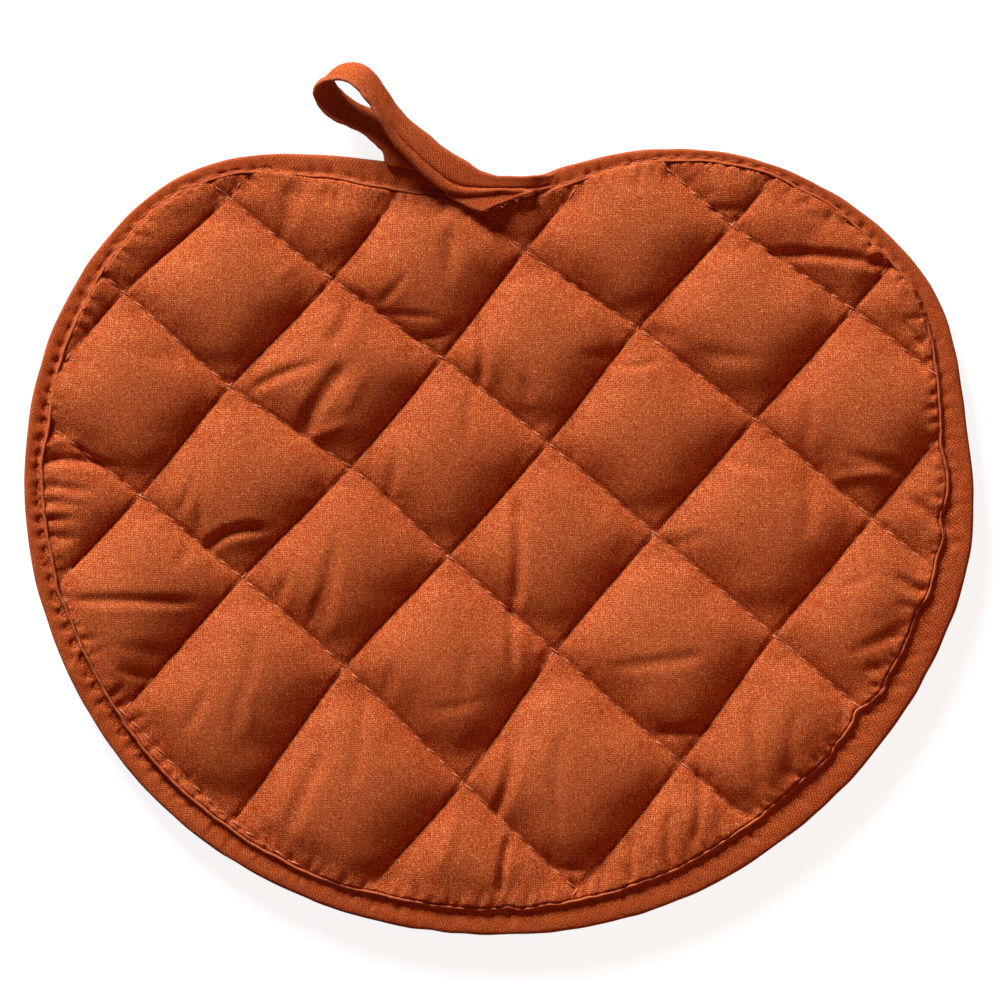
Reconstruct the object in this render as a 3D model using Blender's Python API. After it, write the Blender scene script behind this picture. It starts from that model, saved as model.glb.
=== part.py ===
"""Quilted pot holder shaped like a squat pumpkin, lying face up on a surface.

Metres, +Z up, the surface at z = 0.  +X runs along the widest way and +Y towards
the hanging loop.  The model has three sewn pieces: the quilted pad, the bias tape
that binds its edge, and the hanging loop, which is the end of that tape.
"""

import math
from collections import namedtuple

import bmesh
import bpy
from mathutils import Vector

MM = 0.001
GAP = 0.3 * MM                      # between neighbouring pieces

# --- Outline -------------------------------------------------------------------
# The tape's outer edge is given by its reach from the middle of the pad, and
# trim is the width of tape that shows on the face there.
MIDDLE = Vector((0.2 * MM, -10.8 * MM))
OUTLINE_STEPS = 108                 # straight sides of the outline
Edge = namedtuple("Edge", "bearing reach trim")
EDGE_ROWS = [                       # bearing in degrees, reach and trim in mm
    Edge(0, 113.0, 7.8), Edge(15, 115.6, 6.7), Edge(30, 120.5, 4.8),
    Edge(40, 118.7, 4.0), Edge(50, 114.6, 2.9), Edge(60, 108.6, 2.7),
    Edge(70, 100.9, 3.6), Edge(80, 92.4, 4.9), Edge(88, 87.5, 4.8),
    Edge(97, 89.8, 6.0), Edge(106, 95.5, 6.8), Edge(115, 103.3, 5.8),
    Edge(125, 113.1, 4.3), Edge(135, 118.8, 4.0), Edge(150, 119.8, 4.7),
    Edge(165, 117.3, 5.0), Edge(180, 113.3, 5.2), Edge(195, 108.8, 6.3),
    Edge(210, 104.8, 6.5), Edge(225, 100.7, 6.6), Edge(240, 97.0, 6.2),
    Edge(255, 94.6, 6.8), Edge(270, 93.6, 6.5), Edge(285, 94.2, 7.4),
    Edge(300, 95.9, 7.9), Edge(315, 98.4, 8.4), Edge(330, 102.3, 8.4),
    Edge(345, 107.5, 8.5),
]

# --- Quilting ------------------------------------------------------------------
# Falling seams run down to the right, rising seams up to the right, and each row
# is a crossing that can be seen.  Past the last one a seam keeps the even pitch.
Crossing = namedtuple("Crossing", "falling rising x y")
CROSSINGS = [                       # x and y in mm
    Crossing(1, 4, 55.7, 66.0), Crossing(1, 5, 84.7, 45.8),
    Crossing(2, 3, 6.0, 60.0), Crossing(2, 4, 33.1, 41.3),
    Crossing(2, 5, 61.2, 19.4), Crossing(2, 6, 89.3, -4.3),
    Crossing(3, 1, -65.3, 72.7), Crossing(3, 2, -40.3, 53.0),
    Crossing(3, 3, -13.9, 34.1), Crossing(3, 4, 11.5, 13.7),
    Crossing(3, 5, 37.2, -7.9), Crossing(3, 6, 65.8, -32.4),
    Crossing(4, 1, -90.2, 49.9), Crossing(4, 2, -64.8, 27.4),
    Crossing(4, 3, -36.0, 7.9), Crossing(4, 4, -12.5, -13.4),
    Crossing(4, 5, 13.2, -36.2), Crossing(4, 6, 43.4, -62.9),
    Crossing(5, 2, -86.4, 1.2), Crossing(5, 3, -61.9, -18.7),
    Crossing(5, 4, -37.2, -40.1), Crossing(5, 5, -8.9, -67.7),
    Crossing(5, 6, 18.5, -93.6), Crossing(6, 3, -90.5, -50.9),
    Crossing(6, 4, -64.1, -77.0),
]
FALLING_PITCH = Vector((-23.7 * MM, -28.1 * MM))    # from one falling seam to the next
RISING_PITCH = Vector((26.4 * MM, -22.0 * MM))      # from one rising seam to the next
HOME_CROSSING = (4, 4)              # the crossing that the even pitch is counted from
SEAMS_EACH_WAY = 7
CELL_CUTS = (0.0, 0.07, 0.24, 0.5, 0.76, 0.93)      # where a diamond's mesh is divided

# --- Heights -------------------------------------------------------------------
PUFF_TOP = 9.6 * MM                 # crest of a full diamond
CHANNEL_TOP = 5.0 * MM              # face at a quilting seam
CHANNEL_LIFT = 1.5 * MM             # underside at a quilting seam
PUFF_UNEVEN = 0.07                  # how much the diamonds differ in height
PUFF_BEATS = (2.1, 1.3)             # and how that changes from seam to seam
PUFF_SHAPE = 0.55                   # under 1 is fuller than a sine wave
EDGE_ROUNDING = 16.0 * MM           # how far in the padding is still rounded down
EDGE_SHAPE = 0.6
FLAT_SPREAD = 2.13                  # how much of a diamond's underside lies flat
FLAT_SHAPE = 1.8
TONGUE_BOTTOM = 2.0 * MM            # the flattened rim that the tape holds
TONGUE_TOP = 4.4 * MM
TONGUE_SETBACK = 2.1 * MM           # from the tape's outer edge to the rim's end
CUTTER_BOTTOM = -5.0 * MM           # the cutter passes the pad on both sides
CUTTER_TOP = 20.0 * MM

# --- Edge binding --------------------------------------------------------------
TAPE_WALL = 1.2 * MM
TAPE_BOTTOM = 0.5 * MM
TAPE_NOSE = 3.2 * MM                # height of the outermost edge
TAPE_CROWN = 5.9 * MM               # top of the band between edge and seam
TAPE_GROOVE = 5.4 * MM              # the row of stitches sinks in
TAPE_WELT = 6.1 * MM                # the folded inner edge stands up
WELT_WIDTH = 0.9 * MM               # from the inner edge to the top of the fold
GROOVE_SETBACK = 1.8 * MM           # from the inner edge to the stitches
WELT_SHARE = 0.25                   # their largest shares of a narrow trim
GROOVE_SHARE = 0.45
CROWN_SHARE = 0.42                  # places of the crown and the shoulder on the trim
SHOULDER_SHARE = 0.14
FOLD_EASE = 0.7 * MM                # rounding of the folds

# --- Hanging loop --------------------------------------------------------------
# Sections of the tape from where it leaves the binding, round the loop and back
# to its raw end under itself.  across is the heading of its width and tilt how
# far that rises from level, both in degrees.
LOOP_THICKNESS = 1.0 * MM
LOOP_EDGE_EASE = 0.35 * MM
LOOP_SUBSTEPS = 3
Tape = namedtuple("Tape", "x y z across tilt width")
LOOP_ROWS = [                       # x, y, z and width in mm
    Tape(8.4, 75.7, 8.0, 252, 0, 4.0),
    Tape(0.0, 75.6, 8.0, 263, 0, 3.8),
    Tape(-5.0, 76.0, 8.0, 252, 0, 5.8),
    Tape(-10.3, 77.4, 8.2, 230, 4, 9.2),
    Tape(-17.2, 82.4, 9.2, 225, 18, 8.6),
    Tape(-23.1, 87.8, 10.7, 222, 34, 8.5),
    Tape(-26.7, 92.4, 11.9, 212, 48, 8.3),
    Tape(-29.4, 96.6, 12.5, 214, 50, 8.3),
    Tape(-32.3, 100.3, 12.6, 221, 46, 8.3),
    Tape(-34.9, 102.1, 12.0, 223, 45, 8.4),
    Tape(-37.9, 102.6, 10.9, 223, 45, 8.5),
    Tape(-40.8, 101.8, 9.2, 223, 45, 8.5),
    Tape(-42.4, 100.0, 7.4, 224, 45, 8.6),
    Tape(-41.7, 97.5, 5.8, 226, 43, 8.8),
    Tape(-39.2, 94.8, 4.7, 228, 41, 8.9),
    Tape(-35.7, 92.7, 4.3, 229, 40, 8.7),
    Tape(-31.8, 91.0, 4.4, 229, 38, 8.5),
    Tape(-28.3, 88.9, 5.0, 228, 30, 8.5),
    Tape(-25.3, 86.2, 6.1, 226, 14, 8.5),
    Tape(-21.9, 82.6, 6.8, 226, 0, 8.5),
    Tape(-16.0, 78.2, 6.8, 230, 0, 9.0),
    Tape(-8.5, 74.4, 6.8, 210, 0, 11.0),
    Tape(0.2, 72.0, 6.7, 200, 3, 14.3),
]

FABRIC_ORANGE = (0.52, 0.115, 0.022, 1.0)
TAPE_ORANGE = (0.48, 0.10, 0.020, 1.0)
FABRIC_ROUGHNESS = 0.92


def clear_scene():
    for obj in list(bpy.data.objects):
        bpy.data.objects.remove(obj, do_unlink=True)


def new_collection(name):
    collection = bpy.data.collections.new(name)
    bpy.context.scene.collection.children.link(collection)
    return collection


def cotton(name, colour):
    material = bpy.data.materials.new(name)
    material.use_nodes = True
    shader = material.node_tree.nodes["Principled BSDF"]
    shader.inputs["Base Color"].default_value = colour
    shader.inputs["Roughness"].default_value = FABRIC_ROUGHNESS
    shader.inputs["Metallic"].default_value = 0.0
    material.diffuse_color = colour
    return material


def add_object(bm, name, collection, material=None, smooth_angle=math.radians(50)):
    bmesh.ops.recalc_face_normals(bm, faces=bm.faces[:])
    mesh = bpy.data.meshes.new(name)
    bm.to_mesh(mesh)
    bm.free()
    mesh.shade_smooth()
    mesh.set_sharp_from_angle(angle=smooth_angle)
    obj = bpy.data.objects.new(name, mesh)
    if material is not None:
        mesh.materials.append(material)
    collection.objects.link(obj)
    return obj


def add_guide(bm, name, collection):
    guide = add_object(bm, name, collection)
    guide.hide_render = True
    guide.display_type = "WIRE"
    return guide


def cubic_blend(p0, p1, p2, p3, t):
    """The smooth curve through p1 and p2 that p0 and p3 lead into and out of."""
    return 0.5 * (
        2 * p1 + (p2 - p0) * t
        + (2 * p0 - 5 * p1 + 4 * p2 - p3) * t * t
        + (3 * p1 - p0 - 3 * p2 + p3) * t ** 3
    )


def edge_value(bearing, column):
    """A column of the edge table at any bearing, on a smooth curve round the pad."""
    bearing %= 360.0
    count = len(EDGE_ROWS)
    index = max(i for i, row in enumerate(EDGE_ROWS) if row.bearing <= bearing)
    near = [EDGE_ROWS[(index + step) % count] for step in (-1, 0, 1, 2)]
    span = (near[2].bearing - near[1].bearing) % 360.0
    before = (near[1].bearing - near[0].bearing) % 360.0
    after = (near[3].bearing - near[2].bearing) % 360.0
    value = [getattr(row, column) for row in near]
    slope_in = (value[2] - value[0]) / (span + before) * span
    slope_out = (value[3] - value[1]) / (span + after) * span
    t = (bearing - near[1].bearing) / span
    rise = value[2] - value[1]
    return MM * (
        value[1] + slope_in * t
        + (3 * rise - 2 * slope_in - slope_out) * t ** 2
        + (slope_in + slope_out - 2 * rise) * t ** 3
    )


def radial_stretch(bearing):
    """How much longer a way across the edge is along the bearing than square to it."""
    step = 1.0
    change = edge_value(bearing + step, "reach") - edge_value(bearing - step, "reach")
    slope = change / (2 * math.radians(step) * edge_value(bearing, "reach"))
    return math.hypot(1.0, slope)


def edge_point(bearing, setback):
    """A point in plan, this far inside the tape's outer edge."""
    reach = edge_value(bearing, "reach") - setback * radial_stretch(bearing)
    angle = math.radians(bearing)
    return MIDDLE + reach * Vector((math.cos(angle), math.sin(angle)))


def welt_distance(point):
    """How far a point in plan lies inside the folded inner edge of the tape."""
    offset = point - MIDDLE
    bearing = math.degrees(math.atan2(offset.y, offset.x))
    stretch = radial_stretch(bearing)
    welt_reach = edge_value(bearing, "reach") - edge_value(bearing, "trim") * stretch
    return (welt_reach - offset.length) / stretch


def even_crossing(falling, rising):
    home = next(row for row in CROSSINGS if (row.falling, row.rising) == HOME_CROSSING)
    start = Vector((home.x, home.y)) * MM
    return (start + FALLING_PITCH * (falling - home.falling)
            + RISING_PITCH * (rising - home.rising))


def crossing_point(falling, rising):
    """A crossing from the table, or the even pitch led on from the nearest ones."""
    drift = Vector((0.0, 0.0))
    total = 0.0
    for row in CROSSINGS:
        distance = math.hypot(row.falling - falling, row.rising - rising)
        offset = Vector((row.x, row.y)) * MM - even_crossing(row.falling, row.rising)
        if distance == 0:
            return even_crossing(falling, rising) + offset
        drift += offset / distance ** 4
        total += 1.0 / distance ** 4
    return even_crossing(falling, rising) + drift / total


def seam_point(falling, rising, crossings):
    """A point in plan from its place among the seams, on smooth curves."""
    column = int(math.floor(falling))
    row = int(math.floor(rising))
    along = [
        cubic_blend(*(crossings[column + a, row + b] for b in (-1, 0, 1, 2)), rising - row)
        for a in (-1, 0, 1, 2)
    ]
    return cubic_blend(*along, falling - column)


def pillow(falling, rising):
    """0 on a quilting seam and 1 at the middle of a diamond."""
    across = math.sin(math.pi * (falling % 1.0)) * math.sin(math.pi * (rising % 1.0))
    return max(across, 0.0) ** PUFF_SHAPE


def edge_fullness(inside):
    """How full the padding is at a distance inside the tape."""
    short = 1.0 - min(max(inside / EDGE_ROUNDING, 0.0), 1.0)
    return (1.0 - short ** 2) ** EDGE_SHAPE


def face_height(falling, rising, inside):
    beat = PUFF_BEATS[0] * math.floor(falling) + PUFF_BEATS[1] * math.floor(rising)
    uneven = 1.0 + PUFF_UNEVEN * math.sin(beat)
    puff = (PUFF_TOP - CHANNEL_TOP) * uneven * pillow(falling, rising)
    return CHANNEL_TOP + puff * edge_fullness(inside)


def underside_height(falling, rising, inside):
    """Each diamond is flat on the surface, and the seams and the rim are raised."""
    settled = FLAT_SPREAD * pillow(falling, rising) ** FLAT_SHAPE * edge_fullness(inside)
    return CHANNEL_LIFT * (1.0 - min(1.0, settled))


def outline_solid(setback_of, bottom, top):
    """A plate with the pad's outline, from its bottom to its top height."""
    bm = bmesh.new()
    bmesh.ops.create_circle(bm, cap_ends=True, radius=1.0, segments=OUTLINE_STEPS)
    for step, vert in enumerate(bm.verts):
        bearing = 360.0 * step / OUTLINE_STEPS
        point = edge_point(bearing, setback_of(bearing))
        vert.co = (point.x, point.y, bottom)
    raised = bmesh.ops.extrude_face_region(bm, geom=bm.faces[:])
    lifted = [item for item in raised["geom"] if isinstance(item, bmesh.types.BMVert)]
    bmesh.ops.translate(bm, verts=lifted, vec=(0.0, 0.0, top - bottom))
    return bm


def quilted_pad(collection, guides, material):
    """Two faces and their padding, sewn together in diamonds: one filled solid."""
    places = [seam + cut for seam in range(SEAMS_EACH_WAY) for cut in CELL_CUTS]
    places.append(float(SEAMS_EACH_WAY))
    crossings = {
        (falling, rising): crossing_point(falling, rising)
        for falling in range(-1, SEAMS_EACH_WAY + 3)
        for rising in range(-1, SEAMS_EACH_WAY + 3)
    }
    last = len(places) - 1
    bm = bmesh.new()
    falling_layer = bm.verts.layers.float.new("falling")
    rising_layer = bm.verts.layers.float.new("rising")
    bmesh.ops.create_grid(bm, x_segments=last, y_segments=last, size=1.0)
    for vert in bm.verts:
        vert[falling_layer] = places[round((vert.co.x + 1.0) / 2.0 * last)]
        vert[rising_layer] = places[round((vert.co.y + 1.0) / 2.0 * last)]
    thick = bmesh.ops.extrude_face_region(bm, geom=bm.faces[:])
    upper = {item for item in thick["geom"] if isinstance(item, bmesh.types.BMVert)}
    for vert in bm.verts:
        falling = vert[falling_layer]
        rising = vert[rising_layer]
        point = seam_point(falling, rising, crossings)
        inside = welt_distance(point)
        height = face_height if vert in upper else underside_height
        vert.co = (point.x, point.y, height(falling, rising, inside))
    pad = add_object(bm, "quilted_pad", collection, material)

    inside_tape = outline_solid(
        lambda bearing: edge_value(bearing, "trim") + GAP, CUTTER_BOTTOM, CUTTER_TOP)
    tongue = outline_solid(lambda bearing: TONGUE_SETBACK, TONGUE_BOTTOM, TONGUE_TOP)
    for operation, shape, name in (
            ("INTERSECT", inside_tape, "inside_tape_cutter"),
            ("UNION", tongue, "rim_tongue_guide")):
        modifier = pad.modifiers.new(name, "BOOLEAN")
        modifier.operation = operation
        modifier.solver = "EXACT"
        modifier.object = add_guide(shape, name, guides)
    return pad


def loft(sections, closed):
    """One skin through sections that have the same number of points."""
    bm = bmesh.new()
    rings = [[bm.verts.new(point) for point in section] for section in sections]
    pairs = list(zip(rings, rings[1:]))
    if closed:
        pairs.append((rings[-1], rings[0]))
    else:
        bm.faces.new(rings[0])
        bm.faces.new(rings[-1])
    for ring, following in pairs:
        for index in range(len(ring)):
            after = (index + 1) % len(ring)
            bm.faces.new((ring[index], ring[after], following[after], following[index]))
    return bm


def binding_section(trim):
    """The folded tape's section: setback from the outer edge, and height."""
    cavity_top = TONGUE_TOP + GAP
    cavity_bottom = TONGUE_BOTTOM - GAP
    welt = trim - min(WELT_WIDTH, WELT_SHARE * trim)
    groove = trim - min(GROOVE_SETBACK, GROOVE_SHARE * trim)
    crown = CROWN_SHARE * trim
    shoulder = SHOULDER_SHARE * trim
    return [
        (trim, cavity_top), (trim, TAPE_WELT - 0.3 * FOLD_EASE), (welt, TAPE_WELT),
        (groove, TAPE_GROOVE), (crown, TAPE_CROWN), (shoulder, TAPE_CROWN - FOLD_EASE),
        (0.0, TAPE_NOSE), (shoulder, TAPE_BOTTOM + FOLD_EASE), (crown, TAPE_BOTTOM),
        (trim, TAPE_BOTTOM), (trim, cavity_bottom),
        (TAPE_WALL + FOLD_EASE, cavity_bottom), (TAPE_WALL, cavity_bottom + FOLD_EASE),
        (TAPE_WALL, cavity_top - FOLD_EASE), (TAPE_WALL + FOLD_EASE, cavity_top),
    ]


def edge_binding(collection, material):
    """Bias tape folded over the rim, all the way round."""
    sections = []
    for step in range(OUTLINE_STEPS):
        bearing = 360.0 * step / OUTLINE_STEPS
        section = []
        for setback, height in binding_section(edge_value(bearing, "trim")):
            point = edge_point(bearing, setback)
            section.append((point.x, point.y, height))
        sections.append(section)
    return add_object(loft(sections, True), "edge_binding", collection, material)


def tape_section(centre, width_way, thin_way, width):
    """A flat strip's section with eased edges."""
    half = width / 2
    flat = half - LOOP_EDGE_EASE
    thick = LOOP_THICKNESS / 2
    corners = [(-flat, thick), (flat, thick), (half, 0.0),
               (flat, -thick), (-flat, -thick), (-half, 0.0)]
    return [centre + width_way * across + thin_way * up for across, up in corners]


def hanging_loop(collection, material):
    """The tape's free end, turned back on itself as a loop to hang by."""
    last = len(LOOP_ROWS) - 1
    stations = []
    for index in range(last):
        near = [LOOP_ROWS[min(max(index + step, 0), last)] for step in (-1, 0, 1, 2)]
        for substep in range(LOOP_SUBSTEPS):
            t = substep / LOOP_SUBSTEPS
            stations.append(Tape(*(cubic_blend(*column, t) for column in zip(*near))))
    stations.append(LOOP_ROWS[last])
    centres = [Vector((row.x, row.y, row.z)) * MM for row in stations]
    sections = []
    for index, row in enumerate(stations):
        ahead = centres[min(index + 1, len(centres) - 1)]
        behind = centres[max(index - 1, 0)]
        along = (ahead - behind).normalized()
        across = math.radians(row.across)
        tilt = math.radians(row.tilt)
        width_way = Vector((
            math.cos(tilt) * math.cos(across),
            math.cos(tilt) * math.sin(across),
            math.sin(tilt),
        ))
        thin_way = along.cross(width_way).normalized()
        sections.append(tape_section(centres[index], width_way, thin_way, row.width * MM))
    return add_object(loft(sections, False), "hanging_loop", collection, material)


def main():
    clear_scene()
    pieces = new_collection("pot_holder")
    guides = new_collection("guides")
    face_cotton = cotton("quilted orange cotton", FABRIC_ORANGE)
    tape_cotton = cotton("orange bias tape", TAPE_ORANGE)
    quilted_pad(pieces, guides, face_cotton)
    edge_binding(pieces, tape_cotton)
    hanging_loop(pieces, tape_cotton)


main()
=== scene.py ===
import bisect
import math
import random
from collections import namedtuple

import bmesh
import bpy
from mathutils import Matrix, Vector, noise
from mathutils.bvhtree import BVHTree
from mathutils.kdtree import KDTree


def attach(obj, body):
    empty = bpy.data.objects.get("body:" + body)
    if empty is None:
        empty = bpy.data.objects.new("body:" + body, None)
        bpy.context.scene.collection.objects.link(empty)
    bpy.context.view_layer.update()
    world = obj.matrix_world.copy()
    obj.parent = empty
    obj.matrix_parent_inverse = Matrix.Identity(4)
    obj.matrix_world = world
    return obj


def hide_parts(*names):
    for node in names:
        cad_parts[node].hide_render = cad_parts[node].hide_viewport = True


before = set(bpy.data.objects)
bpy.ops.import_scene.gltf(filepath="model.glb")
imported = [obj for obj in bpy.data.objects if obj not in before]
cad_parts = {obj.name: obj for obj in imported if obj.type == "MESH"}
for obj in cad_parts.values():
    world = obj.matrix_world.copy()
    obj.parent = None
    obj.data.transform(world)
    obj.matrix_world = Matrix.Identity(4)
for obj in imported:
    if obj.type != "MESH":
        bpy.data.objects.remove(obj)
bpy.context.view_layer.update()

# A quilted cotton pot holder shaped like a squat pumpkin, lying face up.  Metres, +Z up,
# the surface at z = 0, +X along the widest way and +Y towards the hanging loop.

MM = 0.001
UP = Vector((0.0, 0.0, 1.0))

# --- Camera, floor and light ----------------------------------------------------------
PHOTO_PIXEL = 0.24 * MM             # the photograph's pixel on the pad, 1000 across
PHOTO_CENTRE = 500.0
CAMERA_LENS = 360.0                 # mm, long enough to look straight down everywhere
CAMERA_SENSOR = 36.0
FLOOR_SIZE = 6.0
FLOOR_GLOW = 0.88
KEY_BEARING = 114.0                 # across the rising seams and half along the falling ones
KEY_ELEVATION = 21.0
KEY_DISTANCE = 4.0                  # far enough off to light both halves of the pad alike
KEY_SIZE = 1.25
KEY_POWER = 304.0
FILL_PLACE = Vector((0.26, -0.26, 0.22))     # the lower right of the photograph is brighter
FILL_SIZE = 0.3
FILL_POWER = 0.18
FILL_COLOUR = "#FFA870"
AIR_STRENGTH = 0.125
AIR_COLOUR = "#FF9664"              # light that the orange cloth hands on into its own folds

# --- Outline, as in the solids --------------------------------------------------------
MIDDLE = Vector((0.2 * MM, -10.8 * MM))
Edge = namedtuple("Edge", "bearing reach trim")
EDGE_ROWS = [                       # bearing in degrees, reach and width of tape in mm
    Edge(0, 113.0, 7.8), Edge(15, 115.6, 6.7), Edge(30, 120.5, 4.8),
    Edge(40, 118.7, 4.0), Edge(50, 114.6, 2.9), Edge(60, 108.6, 2.7),
    Edge(70, 100.9, 3.6), Edge(80, 92.4, 4.9), Edge(88, 87.5, 4.8),
    Edge(97, 89.8, 6.0), Edge(106, 95.5, 6.8), Edge(115, 103.3, 5.8),
    Edge(125, 113.1, 4.3), Edge(135, 118.8, 4.0), Edge(150, 119.8, 4.7),
    Edge(165, 117.3, 5.0), Edge(180, 113.3, 5.2), Edge(195, 108.8, 6.3),
    Edge(210, 104.8, 6.5), Edge(225, 100.7, 6.6), Edge(240, 97.0, 6.2),
    Edge(255, 94.6, 6.8), Edge(270, 93.6, 6.5), Edge(285, 94.2, 7.4),
    Edge(300, 95.9, 7.9), Edge(315, 98.4, 8.4), Edge(330, 102.3, 8.4),
    Edge(345, 107.5, 8.5),
]

# --- Quilting, as in the solids -------------------------------------------------------
Crossing = namedtuple("Crossing", "falling rising x y")
CROSSINGS = [                       # x and y in mm
    Crossing(1, 4, 55.7, 66.0), Crossing(1, 5, 84.7, 45.8),
    Crossing(2, 3, 6.0, 60.0), Crossing(2, 4, 33.1, 41.3),
    Crossing(2, 5, 61.2, 19.4), Crossing(2, 6, 89.3, -4.3),
    Crossing(3, 1, -65.3, 72.7), Crossing(3, 2, -40.3, 53.0),
    Crossing(3, 3, -13.9, 34.1), Crossing(3, 4, 11.5, 13.7),
    Crossing(3, 5, 37.2, -7.9), Crossing(3, 6, 65.8, -32.4),
    Crossing(4, 1, -90.2, 49.9), Crossing(4, 2, -64.8, 27.4),
    Crossing(4, 3, -36.0, 7.9), Crossing(4, 4, -12.5, -13.4),
    Crossing(4, 5, 13.2, -36.2), Crossing(4, 6, 43.4, -62.9),
    Crossing(5, 2, -86.4, 1.2), Crossing(5, 3, -61.9, -18.7),
    Crossing(5, 4, -37.2, -40.1), Crossing(5, 5, -8.9, -67.7),
    Crossing(5, 6, 18.5, -93.6), Crossing(6, 3, -90.5, -50.9),
    Crossing(6, 4, -64.1, -77.0),
]
FALLING_PITCH = Vector((-23.7 * MM, -28.1 * MM))
RISING_PITCH = Vector((26.4 * MM, -22.0 * MM))
HOME_CROSSING = (4, 4)
SEAMS_EACH_WAY = 7

# --- The padded face ------------------------------------------------------------------
FACE_CUTS = 24                      # divisions of a diamond each way
PUFF_TOP = 9.6 * MM
CHANNEL_TOP = 5.0 * MM
CHANNEL_LIFT = 1.5 * MM             # underside at a quilting seam
PUFF_UNEVEN = 0.07
PUFF_BEATS = (2.1, 1.3)
PUFF_SHAPE = 0.55
EDGE_ROUNDING = 16.0 * MM
EDGE_SHAPE = 0.6
FLAT_SPREAD = 2.13
FLAT_SHAPE = 1.8
RIM_TOP = 4.4 * MM                  # the flattened rim inside the tape
RIM_BOTTOM = 2.0 * MM
RIM_SETBACK = 2.1 * MM
RIM_STEP_IN = 0.18 * MM             # the face goes down to its rim at the tape
RIM_STEP_OUT = -0.32 * MM

# --- Blowing the face up over its padding ---------------------------------------------
CLOTH_FRAMES = 22
CLOTH_LIFT = 9.8
CLOTH_GROWTH = (0.03, 0.10)         # spare cloth at a seam and at the middle of a diamond
CLOTH_GROWTH_NOISE = 0.25
CLOTH_START = 0.6 * MM
CLOTH_SOFTENING = 4
CLOTH_FULLNESS = 0.92               # under 1 rises more steeply from a seam
CLOTH_PUFF = 4.0 * MM               # what the simulated crests reach
CLOTH_SETTINGS = {
    "quality": 6, "mass": 0.15, "tension_stiffness": 25.0, "compression_stiffness": 25.0,
    "shear_stiffness": 8.0, "bending_stiffness": 1.0, "tension_damping": 12.0,
    "compression_damping": 12.0, "shear_damping": 12.0, "bending_damping": 2.0,
    "air_damping": 2.0,
}
PIN_WIDTH = -0.7 * MM               # the tape's stitches hold the face just under its fold
SEAM_CREASE = 0.42 * MM             # how sharply a seam's thread cuts in
SEAM_CREASE_FADE = 5.0 * MM         # it fades out towards the tape
EDGE_CROWD = 0.8 * MM               # the padding crowds up against the tape
EDGE_CROWD_WIDTH = 4.5 * MM
EDGE_DETAIL = (-1.1 * MM, 1.4 * MM)          # the band beside the tape that is cut finer
CREST_WEAR_AND_HIGHLIGHT = 0.3                     # how pale the crests of the puffs are drawn: partly wear, partly painted highlight
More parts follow.
